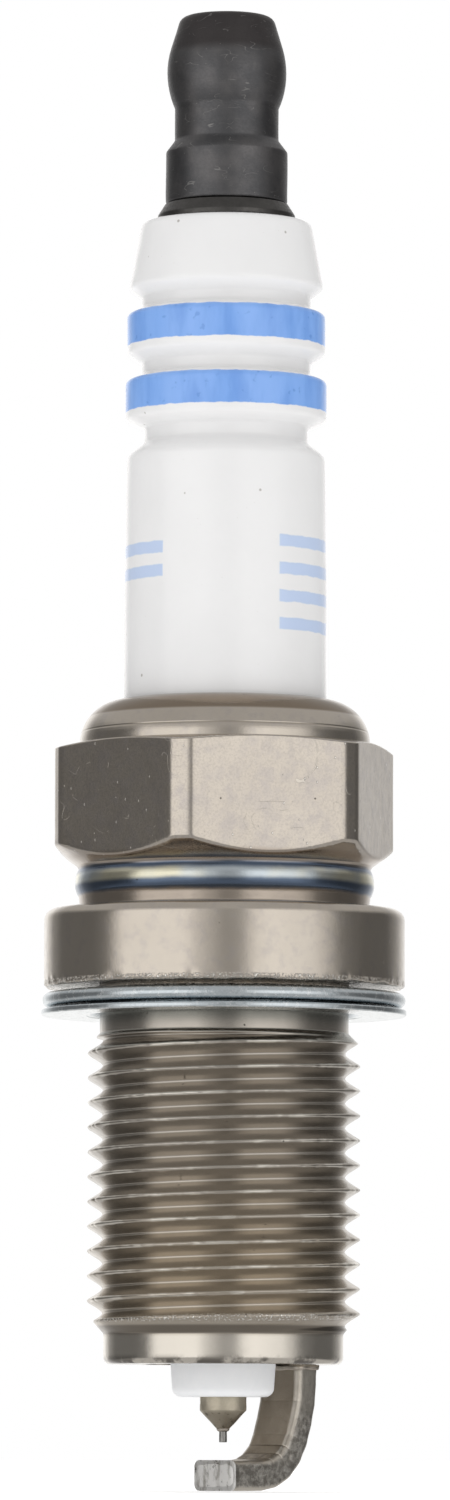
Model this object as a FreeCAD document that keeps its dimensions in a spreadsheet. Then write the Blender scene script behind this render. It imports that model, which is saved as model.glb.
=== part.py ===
import FreeCAD, Part
import math
import os

import Sketcher

# A spark plug with a 14 mm thread, a 19 mm reach, a 16 mm hexagon and a removable terminal nut.
# Millimetres. +Z runs along the plug's axis towards the terminal. The origin is on the axis, in the
# plane of the gasket's lower face, where the plug seats on an engine. "radius" is a distance from the
# axis and "level" is a height above that plane.

SIZES = {
    # terminal nut: a foot, a neck for the spring clip, a round bulge and a coned crown
    "nut_bottom_level": 41.42,
    "nut_foot_radius": 3.1,
    "nut_foot_level": 44.1,
    "nut_neck_radius": 2.65,
    "nut_neck_low_level": 44.7,
    "nut_neck_high_level": 46.38,
    "nut_bulge_curve": 4.5,
    "nut_crease_radius": 2.86,
    "nut_crease_level": 49.45,
    "nut_crown_radius": 2.36,
    "nut_top_level": 51.1,
    "nut_bore_radius": 2.0,
    "nut_bore_level": 49.6,
    "nut_edge_round": 0.15,
    "nut_crown_round": 0.5,
    # terminal stud: an M4 thread above a flange, and a shank that ends in ridges inside the glass
    "stud_flange_level": 41.4,
    "stud_flange_radius": 3.5,
    "stud_flange_rim_level": 40.85,
    "stud_flange_top_radius": 3.15,
    "stud_relief_radius": 1.5,
    "stud_relief_level": 41.95,
    "stud_thread_radius": 1.95,
    "stud_thread_root": 1.55,
    "stud_thread_pitch": 0.7,
    "stud_thread_turns": 10,
    "stud_thread_start_level": 48.75,
    "stud_top_level": 48.3,
    "stud_top_chamfer": 0.4,
    "stud_shank_radius": 1.75,
    "stud_tip_level": 13.2,
    "stud_ridge_radius": 1.85,
    "stud_ridge_root": 1.6,
    "stud_ridge_height": 0.5,
    # insulator, from its top down to its nose
    "insulator_top_level": 40.5,
    "insulator_top_radius": 4.33,
    "insulator_top_round": 0.45,
    "insulator_head_radius": 4.94,
    "insulator_head_level": 37.1,
    "insulator_head_round": 0.3,
    "groove_radius": 4.28,
    "groove_round": 0.18,
    "first_groove_high_level": 36.6,
    "first_groove_low_level": 36.05,
    "first_ring_radius": 5.04,
    "first_ring_high_level": 35.72,
    "first_ring_low_level": 33.72,
    "ring_round": 0.3,
    "second_groove_high_level": 33.25,
    "second_groove_low_level": 32.62,
    "second_ring_radius": 5.12,
    "second_ring_high_level": 32.3,
    "second_ring_low_level": 30.32,
    "third_groove_radius": 4.15,
    "third_groove_high_level": 29.9,
    "third_groove_low_level": 29.15,
    "third_groove_round": 0.3,
    "barrel_shoulder_radius": 5.04,
    "barrel_shoulder_level": 28.45,
    "barrel_shoulder_round": 0.45,
    "barrel_radius": 5.14,
    "barrel_level": 22.9,
    "glaze_end_level": 15.9,
    "unglazed_radius": 5.1,
    "flange_high_level": 11.0,
    "flange_radius": 5.85,
    "flange_low_level": 3.0,
    "body_radius": 4.6,
    "body_high_level": 2.2,
    "nose_root_radius": 3.4,
    "nose_radius": 2.55,
    "nose_level": -19.22,
    "nose_round": 0.46,
    "bore_radius": 2.0,
    "bore_step_level": 1.6,
    "electrode_bore_radius": 1.2,
    # the column inside the insulator: glass, resistor, glass, centre electrode
    "upper_glass_level": 15.7,
    "resistor_high_level": 11.4,
    "resistor_low_level": 5.4,
    "electrode_head_radius": 1.65,
    "electrode_head_level": 2.9,
    "electrode_radius": 1.178,
    "electrode_cone_level": -19.9,
    "electrode_end_radius": 0.34,
    "electrode_end_level": -20.8,
    "core_radius": 0.62,
    "core_end_level": -17.5,
    "tip_radius": 0.2,
    "tip_root_level": -20.4,
    "tip_end_level": -21.5,
    "tip_weld_level": -20.98,
    # shell, from its crimped lip down to its rim
    "lip_inner_radius": 5.22,
    "lip_top_level": 16.0,
    "lip_under_level": 15.75,
    "lip_side_radius": 7.36,
    "lip_side_level": 14.0,
    "lip_curve": 2.2,
    "cavity_radius": 6.0,
    "cavity_high_level": 15.0,
    "cavity_low_level": 2.2,
    "hex_across_flats": 15.75,
    "hex_corner_distance": 8.82,
    "hex_turn": 45.9,
    "hex_high_level": 13.7,
    "hex_high_radius": 7.8,
    "hex_high_chamfer_level": 13.34,
    "hex_blank_radius": 9.25,
    "hex_low_chamfer_level": 8.81,
    "hex_low_radius": 7.5,
    "hex_low_level": 7.58,
    "swage_radius": 7.4,
    "swage_high_level": 7.4,
    "swage_low_level": 6.0,
    "swage_curve": 1.4,
    "collar_neck_radius": 7.33,
    "collar_radius": 9.14,
    "collar_high_level": 5.38,
    "collar_low_level": 1.42,
    "collar_high_round": 0.55,
    "collar_low_round": 0.15,
    "relief_radius": 6.3,
    "thread_high_chamfer_level": -0.9,
    "thread_high_level": -1.5,
    "thread_radius": 6.9,
    "thread_root": 6.12,
    "thread_pitch": 1.25,
    "thread_turns": 13,
    "thread_start_level": -0.3465,
    "thread_low_level": -15.1,
    "pilot_radius": 6.06,
    "pilot_level": -16.05,
    "rim_level": -17.59,
    "rim_round": 0.35,
    "rim_bore_radius": 4.05,
    "land_radius": 3.75,
    "land_low_level": -8.5,
    "ledge_low_level": -7.1,
    "ledge_high_level": -6.5,
    "shell_bore_radius": 4.75,
    "shell_bore_level": 1.3,
    # seal between the insulator and the shell
    "packing_wire_radius": 0.4,
    "packing_ring_radius": 5.55,
    "lower_packing_level": 11.12,
    "upper_packing_level": 14.84,
    "seat_washer_inner_radius": 3.85,
    "seat_washer_height": 0.4,
    # gasket: one steel sheet folded into three leaves
    "gasket_sheet": 0.31,
    "gasket_gap": 0.11,
    "gasket_inner_radius": 6.62,
    "gasket_fold_radius": 9.22,
    "gasket_edge_radius": 9.27,
    "gasket_upper_inner_radius": 7.0,
    "gasket_edge_round": 0.07,
    # ground electrode: a strap that comes down from the rim and bends in under the tip
    "strap_turn": 46.5,
    "strap_width": 2.8,
    "strap_thickness": 1.55,
    "strap_edge_round": 0.22,
    "strap_radius": 4.85,
    "strap_lean_level": -19.52,
    "strap_lean_curve": 9.25,
    "strap_elbow_radius": 3.52,
    "strap_elbow_curve": 3.15,
    "strap_level": -23.17,
    "strap_end_radius": -0.62,
    "strap_weld_flash": 0.2,
    "strap_weld_height": 0.28,
}

TINY = 1e-7
FLANK_SLOPE = math.tan(math.radians(30))
KNURL_RIDGES = 4


class Size:
    """A length that knows its value now and the sheet expression that keeps it up to date."""

    def __init__(self, value, text):
        self.value = value
        self.text = text

    def __add__(self, other):
        other = as_size(other)
        return Size(self.value + other.value, f"({self.text} + {other.text})")

    def __sub__(self, other):
        other = as_size(other)
        return Size(self.value - other.value, f"({self.text} - {other.text})")

    def __mul__(self, other):
        other = as_size(other)
        return Size(self.value * other.value, f"({self.text} * {other.text})")

    def __truediv__(self, other):
        other = as_size(other)
        return Size(self.value / other.value, f"({self.text} / {other.text})")


def as_size(number):
    """Let a plain number stand in a sum with a Size."""
    if isinstance(number, Size):
        return number
    return Size(float(number), f"({float(number)})")


class SizeSheet:
    """The sizes by name: sizes.rim_level is a Size bound to that cell."""

    def __init__(self, sheet):
        self.sheet = sheet

    def __getattr__(self, name):
        return Size(float(SIZES[name]), f"{self.sheet.Label}.{name}")


class Corner:
    """A point of an outline, at a radius and a level, which may be rounded."""

    def __init__(self, across, along, rounding=None):
        self.across = as_size(across)
        self.along = as_size(along)
        self.rounding = rounding

    def point(self):
        return FreeCAD.Vector(self.across.value, self.along.value, 0)


class Bow:
    """An arc between two corners, with its centre to the left or right of the way along it.

    Its curve is its radius. With no curve it is a half circle.
    """

    def __init__(self, curve, centre):
        self.curve = curve
        self.side = 1 if centre == "left" else -1


def make_sheet(doc):
    """Write every driving dimension to the spreadsheet, one named cell each."""
    sheet = doc.addObject("Spreadsheet::Sheet", "Sizes")
    for row, (name, value) in enumerate(SIZES.items(), start=1):
        sheet.set(f"A{row}", name)
        sheet.set(f"B{row}", str(value))
        sheet.setAlias(f"B{row}", name)
    doc.recompute()
    return SizeSheet(sheet)


def arc_between(start, end, radius, side):
    """Arc from start to end with its centre on the given side, and whether it runs backwards."""
    chord = end - start
    middle = (start + end) * 0.5
    reach = math.sqrt(max(radius**2 - (chord.Length / 2) ** 2, 0.0))
    left = FreeCAD.Vector(-chord.y, chord.x, 0).normalize()
    centre = middle + left * (side * reach)
    from_angle = math.atan2(start.y - centre.y, start.x - centre.x)
    to_angle = math.atan2(end.y - centre.y, end.x - centre.x)
    backwards = side < 0
    if backwards:
        from_angle, to_angle = to_angle, from_angle
    circle = Part.Circle(centre, FreeCAD.Vector(0, 0, 1), radius)
    return Part.ArcOfCircle(circle, from_angle, to_angle), backwards


class Outline:
    """Draws a chain of corners and bows in a sketch, with a constraint on every size."""

    def __init__(self, sketch, entries, closed=True):
        self.sketch = sketch
        self.closed = closed
        self.corners = [entry for entry in entries if isinstance(entry, Corner)]
        self.bows = self.bow_after_corner(entries)
        self.trims = [self.trim(index) for index in range(len(self.corners))]
        self.edges = [self.draw_edge(index) for index in range(self.edge_count())]
        for index in range(len(self.corners)):
            self.tie_corner(index)

    def bow_after_corner(self, entries):
        """Map a corner's number to the bow that leaves it."""
        bows, number = {}, -1
        for entry in entries:
            if isinstance(entry, Corner):
                number += 1
            else:
                bows[number] = entry
        return bows

    def edge_count(self):
        return len(self.corners) if self.closed else len(self.corners) - 1

    def trim(self, index):
        """Where the round of a corner leaves its two sides: both points are the corner if it is sharp."""
        corner = self.corners[index]
        here = corner.point()
        if corner.rounding is None:
            return here, here
        before = self.corners[index - 1].point()
        after = self.corners[(index + 1) % len(self.corners)].point()
        back, ahead = (before - here).normalize(), (after - here).normalize()
        half_angle = back.getAngle(ahead) / 2
        length = corner.rounding.value / math.tan(half_angle)
        return here + back * length, here + ahead * length

    def add_size(self, kind, *where, size):
        """Add a constraint whose value follows the sheet."""
        index = self.sketch.addConstraint(Sketcher.Constraint(kind, *where, size.value))
        self.sketch.setExpression(f"Constraints[{index}]", size.text)

    def add_tie(self, kind, *where):
        self.sketch.addConstraint(Sketcher.Constraint(kind, *where))

    def place(self, geometry, end, corner):
        """Hold one end of a piece of geometry at a corner."""
        if abs(corner.across.value) < TINY:
            self.add_tie("PointOnObject", geometry, end, -2)
        else:
            self.add_size("DistanceX", geometry, end, size=corner.across)
        if abs(corner.along.value) < TINY:
            self.add_tie("PointOnObject", geometry, end, -1)
        else:
            self.add_size("DistanceY", geometry, end, size=corner.along)

    def draw_edge(self, index):
        """Add the line or arc after a corner: its number, its start and its end."""
        following = (index + 1) % len(self.corners)
        start, end = self.trims[index][1], self.trims[following][0]
        if index not in self.bows:
            return self.sketch.addGeometry(Part.LineSegment(start, end)), 1, 2
        bow = self.bows[index]
        radius = bow.curve.value if bow.curve else (end - start).Length / 2
        arc, backwards = arc_between(start, end, radius, bow.side)
        number = self.sketch.addGeometry(arc)
        if bow.curve:
            self.add_size("Radius", number, size=bow.curve)
        else:
            self.add_tie("Symmetric", number, 1, number, 2, number, 3)
        return (number, 2, 1) if backwards else (number, 1, 2)

    def tie_corner(self, index):
        """Join the edges that meet at a corner, and hold them where the sizes say."""
        corner = self.corners[index]
        is_first = index == 0 and not self.closed
        is_last = index == len(self.corners) - 1 and not self.closed
        if is_last:
            number, _, end = self.edges[index - 1]
            self.place(number, end, corner)
            return
        number, start, _ = self.edges[index]
        if is_first:
            self.place(number, start, corner)
            return
        before, _, before_end = self.edges[index - 1]
        if corner.rounding is None:
            self.add_tie("Coincident", before, before_end, number, start)
            self.place(number, start, corner)
            return
        self.round_corner(index, before, before_end, number, start)

    def round_corner(self, index, before, before_end, after, after_start):
        """Put a tangent arc at a corner, whose two sides still aim at the corner's own point."""
        corner = self.corners[index]
        mark = self.sketch.addGeometry(Part.Point(corner.point()), True)
        self.place(mark, 1, corner)
        self.add_tie("PointOnObject", mark, 1, before)
        self.add_tie("PointOnObject", mark, 1, after)
        entry, leave = self.trims[index]
        way_in, way_out = corner.point() - entry, leave - corner.point()
        side = 1 if way_in.cross(way_out).z > 0 else -1
        arc, backwards = arc_between(entry, leave, corner.rounding.value, side)
        number = self.sketch.addGeometry(arc)
        arc_start, arc_end = (2, 1) if backwards else (1, 2)
        self.add_tie("Tangent", before, before_end, number, arc_start)
        self.add_tie("Tangent", number, arc_end, after, after_start)
        self.add_size("Radius", number, size=corner.rounding)


def origin_plane(body, role):
    """One of the body's own origin planes."""
    for feature in body.Origin.OriginFeatures:
        if feature.Role == role:
            return feature
    raise LookupError(role)


def new_body(doc, label):
    body = doc.addObject("PartDesign::Body", label)
    body.Label = label
    return body


def new_sketch(body, name, role="XZ_Plane"):
    sketch = body.newObject("Sketcher::SketchObject", name)
    sketch.AttachmentSupport = [(origin_plane(body, role), "")]
    sketch.MapMode = "FlatFace"
    return sketch


def turned_body(doc, label, entries):
    """A body turned about the axis from an outline of radius and level."""
    body = new_body(doc, label)
    sketch = new_sketch(body, f"{label}_outline")
    Outline(sketch, entries)
    doc.recompute()
    turned = body.newObject("PartDesign::Revolution", f"{label}_turned")
    turned.Profile = sketch
    turned.ReferenceAxis = (sketch, ["V_Axis"])
    turned.Angle = 360
    doc.recompute()
    return body


def cut_thread(doc, body, pitch, turns, start, crest, root):
    """Cut a right-hand 60 degree thread downwards from a level, as one groove on a helix."""
    before = body.Shape.Volume
    overshoot = pitch / 16
    half_at_crest = pitch * 7 / 16
    half_mouth = half_at_crest + overshoot * FLANK_SLOPE
    half_root = half_at_crest - (crest - root) * FLANK_SLOPE
    sketch = new_sketch(body, f"{body.Label}_groove", "YZ_Plane")
    Outline(
        sketch,
        [
            Corner(root, start - half_root),
            Corner(crest + overshoot, start - half_mouth),
            Corner(crest + overshoot, start + half_mouth),
            Corner(root, start + half_root),
        ],
    )
    doc.recompute()
    thread = body.newObject("PartDesign::SubtractiveHelix", f"{body.Label}_thread")
    thread.Profile = sketch
    thread.ReferenceAxis = (sketch, ["V_Axis"])
    thread.Mode = "pitch-turns-angle"
    thread.setExpression("Pitch", pitch.text)
    thread.setExpression("Turns", turns.text)
    thread.Reversed = True
    doc.recompute()
    check_cut(body, before)


def check_cut(body, volume_before):
    """Stop if a cutting feature took nothing away."""
    if not body.Shape.Volume < volume_before - TINY:
        raise RuntimeError(f"a cut in {body.Label} removed nothing")


def knurl_corners(sizes):
    """The ridged end of the stud's shank, from its tip up to the smooth shank."""
    corners = []
    level = sizes.stud_tip_level
    for _ in range(KNURL_RIDGES):
        corners.append(Corner(sizes.stud_ridge_root, level))
        corners.append(Corner(sizes.stud_ridge_radius, level + sizes.stud_ridge_height / 2))
        level = level + sizes.stud_ridge_height
    corners.append(Corner(sizes.stud_ridge_root, level))
    corners.append(Corner(sizes.stud_shank_radius, level))
    return corners


def make_terminal_nut(doc, sizes):
    entries = [
        Corner(sizes.nut_bore_radius, sizes.nut_bottom_level),
        Corner(sizes.nut_foot_radius, sizes.nut_bottom_level, sizes.nut_edge_round),
        Corner(sizes.nut_foot_radius, sizes.nut_foot_level, sizes.nut_edge_round),
        Corner(sizes.nut_neck_radius, sizes.nut_neck_low_level, sizes.nut_edge_round),
        Corner(sizes.nut_neck_radius, sizes.nut_neck_high_level),
        Bow(sizes.nut_bulge_curve, "left"),
        Corner(sizes.nut_crease_radius, sizes.nut_crease_level),
        Corner(sizes.nut_crown_radius, sizes.nut_top_level, sizes.nut_crown_round),
        Corner(0, sizes.nut_top_level),
        Corner(0, sizes.nut_bore_level),
        Corner(sizes.nut_bore_radius, sizes.nut_bore_level - sizes.nut_bore_radius / 2),
    ]
    turned_body(doc, "terminal_nut", entries)


def make_terminal_stud(doc, sizes):
    entries = knurl_corners(sizes)
    entries += [
        Corner(sizes.stud_shank_radius, sizes.insulator_top_level),
        Corner(sizes.stud_flange_radius, sizes.insulator_top_level, sizes.nut_edge_round),
        Corner(sizes.stud_flange_radius, sizes.stud_flange_rim_level, sizes.nut_edge_round),
        Corner(sizes.stud_flange_top_radius, sizes.stud_flange_level),
        Corner(sizes.stud_relief_radius, sizes.stud_flange_level),
        Corner(sizes.stud_relief_radius, sizes.stud_relief_level),
        Corner(
            sizes.stud_thread_radius,
            sizes.stud_relief_level + sizes.stud_thread_radius - sizes.stud_relief_radius,
        ),
        Corner(sizes.stud_thread_radius, sizes.stud_top_level - sizes.stud_top_chamfer),
        Corner(
            sizes.stud_thread_radius - sizes.stud_top_chamfer,
            sizes.stud_top_level,
        ),
        Corner(0, sizes.stud_top_level),
        Corner(0, sizes.stud_tip_level),
    ]
    body = turned_body(doc, "terminal_stud", entries)
    cut_thread(
        doc,
        body,
        sizes.stud_thread_pitch,
        sizes.stud_thread_turns,
        sizes.stud_thread_start_level,
        sizes.stud_thread_radius,
        sizes.stud_thread_root,
    )


def rib_corners(sizes):
    """The insulator's outside from its top edge down to the barrel: two rings between three grooves."""
    groove, small = sizes.groove_radius, sizes.groove_round
    return [
        Corner(sizes.insulator_top_radius, sizes.insulator_top_level, sizes.insulator_top_round),
        Corner(sizes.insulator_head_radius, sizes.insulator_head_level, sizes.insulator_head_round),
        Corner(groove, sizes.first_groove_high_level, small),
        Corner(groove, sizes.first_groove_low_level, small),
        Corner(sizes.first_ring_radius, sizes.first_ring_high_level, sizes.ring_round),
        Corner(sizes.first_ring_radius, sizes.first_ring_low_level, sizes.ring_round),
        Corner(groove, sizes.second_groove_high_level, small),
        Corner(groove, sizes.second_groove_low_level, small),
        Corner(sizes.second_ring_radius, sizes.second_ring_high_level, sizes.ring_round),
        Corner(sizes.second_ring_radius, sizes.second_ring_low_level, sizes.ring_round),
        Corner(sizes.third_groove_radius, sizes.third_groove_high_level, small),
        Corner(
            sizes.third_groove_radius,
            sizes.third_groove_low_level,
            sizes.third_groove_round,
        ),
        Corner(
            sizes.barrel_shoulder_radius,
            sizes.barrel_shoulder_level,
            sizes.barrel_shoulder_round,
        ),
    ]


def make_insulator(doc, sizes):
    entries = rib_corners(sizes)
    entries += [
        Corner(sizes.barrel_radius, sizes.barrel_level),
        Corner(sizes.barrel_radius, sizes.glaze_end_level),
        Corner(sizes.unglazed_radius, sizes.glaze_end_level),
        Corner(sizes.unglazed_radius, sizes.flange_high_level),
        Corner(
            sizes.flange_radius,
            sizes.flange_high_level - (sizes.flange_radius - sizes.unglazed_radius),
        ),
        Corner(sizes.flange_radius, sizes.flange_low_level),
        Corner(sizes.body_radius, sizes.body_high_level),
        Corner(sizes.body_radius, seat_level(sizes, sizes.body_radius)),
        Corner(sizes.nose_root_radius, seat_level(sizes, sizes.nose_root_radius)),
        Corner(sizes.nose_radius, sizes.nose_level, sizes.nose_round),
        Corner(sizes.electrode_bore_radius, sizes.nose_level),
        Corner(
            sizes.electrode_bore_radius,
            sizes.bore_step_level - (sizes.bore_radius - sizes.electrode_bore_radius),
        ),
        Corner(sizes.bore_radius, sizes.bore_step_level),
        Corner(sizes.bore_radius, sizes.insulator_top_level),
    ]
    turned_body(doc, "insulator", entries)


def ledge_level(sizes, radius):
    """Level of the shell's coned ledge at a radius."""
    rise = sizes.ledge_high_level - sizes.ledge_low_level
    run = sizes.shell_bore_radius - sizes.land_radius
    return sizes.ledge_low_level + (radius - sizes.land_radius) * rise / run


def seat_level(sizes, radius):
    """Level of the insulator's coned shoulder at a radius: the ledge with the seat washer on it."""
    return ledge_level(sizes, radius) + sizes.seat_washer_height


def make_seat_washer(doc, sizes):
    inner, outer = sizes.seat_washer_inner_radius, sizes.body_radius
    entries = [
        Corner(inner, ledge_level(sizes, inner)),
        Corner(outer, ledge_level(sizes, outer)),
        Corner(outer, seat_level(sizes, outer)),
        Corner(inner, seat_level(sizes, inner)),
    ]
    turned_body(doc, "seat_washer", entries)


def make_upper_glass_seal(doc, sizes):
    entries = [
        Corner(0, sizes.resistor_high_level),
        Corner(sizes.bore_radius, sizes.resistor_high_level),
        Corner(sizes.bore_radius, sizes.upper_glass_level),
        Corner(sizes.stud_shank_radius, sizes.upper_glass_level),
    ]
    entries += reversed(knurl_corners(sizes))
    entries += [Corner(0, sizes.stud_tip_level)]
    turned_body(doc, "upper_glass_seal", entries)


def make_resistor(doc, sizes):
    core = doc.addObject("Part::Cylinder", "resistor")
    height = sizes.resistor_high_level - sizes.resistor_low_level
    core.setExpression("Radius", sizes.bore_radius.text)
    core.setExpression("Height", height.text)
    core.setExpression("Placement.Base.z", sizes.resistor_low_level.text)


def head_seat_level(sizes, radius):
    """Level of the coned step in the insulator's bore, where the centre electrode's head sits."""
    return sizes.bore_step_level - (sizes.bore_radius - radius)


def make_lower_glass_seal(doc, sizes):
    head = sizes.electrode_head_radius
    entries = [
        Corner(head, head_seat_level(sizes, head)),
        Corner(sizes.bore_radius, sizes.bore_step_level),
        Corner(sizes.bore_radius, sizes.resistor_low_level),
        Corner(0, sizes.resistor_low_level),
        Corner(0, sizes.electrode_head_level),
        Corner(head, sizes.electrode_head_level),
    ]
    turned_body(doc, "lower_glass_seal", entries)


def make_centre_electrode(doc, sizes):
    head = sizes.electrode_head_radius
    shank = sizes.electrode_radius
    entries = [
        Corner(sizes.core_radius, sizes.electrode_head_level),
        Corner(sizes.core_radius, sizes.core_end_level + sizes.core_radius),
        Corner(0, sizes.core_end_level),
        Corner(0, sizes.tip_root_level),
        Corner(sizes.tip_radius, sizes.tip_root_level),
        Corner(sizes.tip_radius, sizes.electrode_end_level),
        Corner(sizes.electrode_end_radius, sizes.electrode_end_level),
        Corner(shank, sizes.electrode_cone_level),
        Corner(shank, head_seat_level(sizes, shank)),
        Corner(head, head_seat_level(sizes, head)),
        Corner(head, sizes.electrode_head_level),
    ]
    turned_body(doc, "centre_electrode", entries)


def make_electrode_copper_core(doc, sizes):
    entries = [
        Corner(0, sizes.core_end_level),
        Corner(sizes.core_radius, sizes.core_end_level + sizes.core_radius),
        Corner(sizes.core_radius, sizes.electrode_head_level),
        Corner(0, sizes.electrode_head_level),
    ]
    turned_body(doc, "electrode_copper_core", entries)


def make_tip_weld(doc, sizes):
    entries = [
        Corner(sizes.tip_radius, sizes.tip_weld_level),
        Corner(sizes.electrode_end_radius, sizes.electrode_end_level),
        Corner(sizes.tip_radius, sizes.electrode_end_level),
    ]
    turned_body(doc, "tip_weld", entries)


def make_iridium_tip(doc, sizes):
    tip = doc.addObject("Part::Cylinder", "iridium_tip")
    height = sizes.tip_root_level - sizes.tip_end_level
    tip.setExpression("Radius", sizes.tip_radius.text)
    tip.setExpression("Height", height.text)
    tip.setExpression("Placement.Base.z", sizes.tip_end_level.text)


def shell_outside(sizes):
    """The shell's outside as it leaves the lathe, from the lip down to the rim."""
    return [
        Corner(sizes.lip_inner_radius, sizes.lip_top_level),
        Bow(sizes.lip_curve, "right"),
        Corner(sizes.lip_side_radius, sizes.lip_side_level),
        Corner(sizes.lip_side_radius, sizes.hex_high_level),
        Corner(sizes.hex_high_radius, sizes.hex_high_level),
        Corner(sizes.hex_blank_radius, sizes.hex_high_chamfer_level),
        Corner(sizes.hex_blank_radius, sizes.hex_low_chamfer_level),
        Corner(sizes.hex_low_radius, sizes.hex_low_level),
        Corner(sizes.swage_radius, sizes.swage_high_level),
        Bow(sizes.swage_curve, "right"),
        Corner(sizes.swage_radius, sizes.swage_low_level),
        Corner(sizes.collar_neck_radius, sizes.collar_high_level, sizes.collar_low_round),
        Corner(sizes.collar_radius, sizes.collar_high_level, sizes.collar_high_round),
        Corner(sizes.collar_radius, sizes.collar_low_level, sizes.collar_low_round),
        Corner(sizes.relief_radius, sizes.collar_low_level),
        Corner(sizes.relief_radius, sizes.thread_high_chamfer_level),
        Corner(sizes.thread_radius, sizes.thread_high_level),
        Corner(sizes.thread_radius, sizes.thread_low_level),
        Corner(sizes.pilot_radius, sizes.pilot_level),
        Corner(sizes.pilot_radius, sizes.rim_level, sizes.rim_round),
    ]


def shell_inside(sizes):
    """The shell's bore, from the rim up to the lip."""
    return [
        Corner(sizes.rim_bore_radius, sizes.rim_level),
        Corner(
            sizes.rim_bore_radius,
            sizes.land_low_level - (sizes.rim_bore_radius - sizes.land_radius),
        ),
        Corner(sizes.land_radius, sizes.land_low_level),
        Corner(sizes.land_radius, sizes.ledge_low_level),
        Corner(sizes.shell_bore_radius, sizes.ledge_high_level),
        Corner(sizes.shell_bore_radius, sizes.shell_bore_level),
        Corner(sizes.cavity_radius, sizes.cavity_low_level),
        Corner(sizes.cavity_radius, sizes.cavity_high_level),
        Corner(sizes.lip_inner_radius, sizes.lip_under_level),
    ]


def cut_round_hexagon(doc, body, name, distance, turn, sizes):
    """Mill six flats at one distance from the axis, the first one at an angle about it."""
    before = body.Shape.Volume
    floor = (sizes.hex_low_level + sizes.swage_high_level) / 2
    sketch = new_sketch(body, f"{name}_outline", "XY_Plane")
    turned = FreeCAD.Rotation(FreeCAD.Vector(0, 0, 1), turn.value)
    sketch.AttachmentOffset = FreeCAD.Placement(FreeCAD.Vector(0, 0, floor.value), turned)
    sketch.setExpression("AttachmentOffset.Base.z", floor.text)
    sketch.setExpression("AttachmentOffset.Rotation.Angle", turn.text)
    reach = sizes.hex_blank_radius + 1
    Outline(
        sketch,
        [
            Corner(distance, as_size(0) - reach),
            Corner(reach, as_size(0) - reach),
            Corner(reach, reach),
            Corner(distance, reach),
        ],
    )
    doc.recompute()
    flat = body.newObject("PartDesign::Pocket", name)
    flat.Profile = sketch
    flat.setExpression("Length", (sizes.hex_high_level + 1 - floor).text)
    flat.Reversed = True
    doc.recompute()
    check_cut(body, before)
    pattern = body.newObject("PartDesign::PolarPattern", f"{name}_pattern")
    pattern.Originals = [flat]
    pattern.Axis = (origin_plane(body, "Z_Axis"), [""])
    pattern.Angle = 360
    pattern.Occurrences = 6
    body.Tip = pattern
    doc.recompute()
    check_cut(body, before)


def make_shell(doc, sizes):
    body = turned_body(doc, "shell", shell_outside(sizes) + shell_inside(sizes))
    half_across = sizes.hex_across_flats / 2
    cut_round_hexagon(doc, body, "hex_flat", half_across, sizes.hex_turn, sizes)
    corner_turn = sizes.hex_turn + 30
    cut_round_hexagon(
        doc, body, "hex_corner_flat", sizes.hex_corner_distance, corner_turn, sizes
    )
    cut_thread(
        doc,
        body,
        sizes.thread_pitch,
        sizes.thread_turns,
        sizes.thread_start_level,
        sizes.thread_radius,
        sizes.thread_root,
    )


def make_packing_ring(doc, sizes, label, level):
    ring = doc.addObject("Part::Torus", label)
    ring.setExpression("Radius1", sizes.packing_ring_radius.text)
    ring.setExpression("Radius2", sizes.packing_wire_radius.text)
    ring.setExpression("Placement.Base.z", level.text)


def make_talc_filling(doc, sizes):
    low, high = sizes.lower_packing_level, sizes.upper_packing_level
    wire = sizes.packing_wire_radius
    entries = [
        Corner(sizes.unglazed_radius, low),
        Corner(sizes.packing_ring_radius - wire, low),
        Bow(None, "right"),
        Corner(sizes.packing_ring_radius + wire, low),
        Corner(sizes.cavity_radius, low),
        Corner(sizes.cavity_radius, high),
        Corner(sizes.packing_ring_radius + wire, high),
        Bow(None, "right"),
        Corner(sizes.packing_ring_radius - wire, high),
        Corner(sizes.unglazed_radius, high),
    ]
    turned_body(doc, "talc_filling", entries)


def make_gasket(doc, sizes):
    """One steel sheet in three leaves: the lower two meet in an inner fold, the upper two in an outer."""
    sheet, gap = sizes.gasket_sheet, sizes.gasket_gap
    fold = sheet + gap / 2
    inner = sizes.gasket_inner_radius + fold
    outer = sizes.gasket_fold_radius - fold
    first, second = sheet, sheet + gap
    third, fourth = sheet * 2 + gap, sheet * 2 + gap * 2
    top = sheet * 3 + gap * 2
    entries = [
        Corner(inner, 0),
        Corner(sizes.gasket_edge_radius, 0, sizes.gasket_edge_round),
        Corner(sizes.gasket_edge_radius, first, sizes.gasket_edge_round),
        Corner(inner, first),
        Bow(None, "right"),
        Corner(inner, second),
        Corner(outer, second),
        Bow(None, "left"),
        Corner(outer, top),
        Corner(sizes.gasket_upper_inner_radius, top),
        Corner(sizes.gasket_upper_inner_radius, fourth),
        Corner(outer, fourth),
        Bow(None, "right"),
        Corner(outer, third),
        Corner(inner, third),
        Bow(None, "left"),
    ]
    turned_body(doc, "gasket", entries)


def turn_about_axis(body, sizes):
    """Swing a body made in the XZ plane round to the ground electrode's side of the plug."""
    body.Placement = FreeCAD.Placement(
        FreeCAD.Vector(0, 0, 0),
        FreeCAD.Rotation(FreeCAD.Vector(0, 0, 1), sizes.strap_turn.value),
    )
    body.setExpression("Placement.Rotation.Angle", sizes.strap_turn.text)


def rectangle(centre, thick, wide, rounding=None):
    """Corners of a rectangle about a point on the X axis."""
    near, far = centre - thick / 2, centre + thick / 2
    left, right = as_size(0) - wide / 2, wide / 2
    return [
        Corner(near, left, rounding),
        Corner(far, left, rounding),
        Corner(far, right, rounding),
        Corner(near, right, rounding),
    ]


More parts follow.
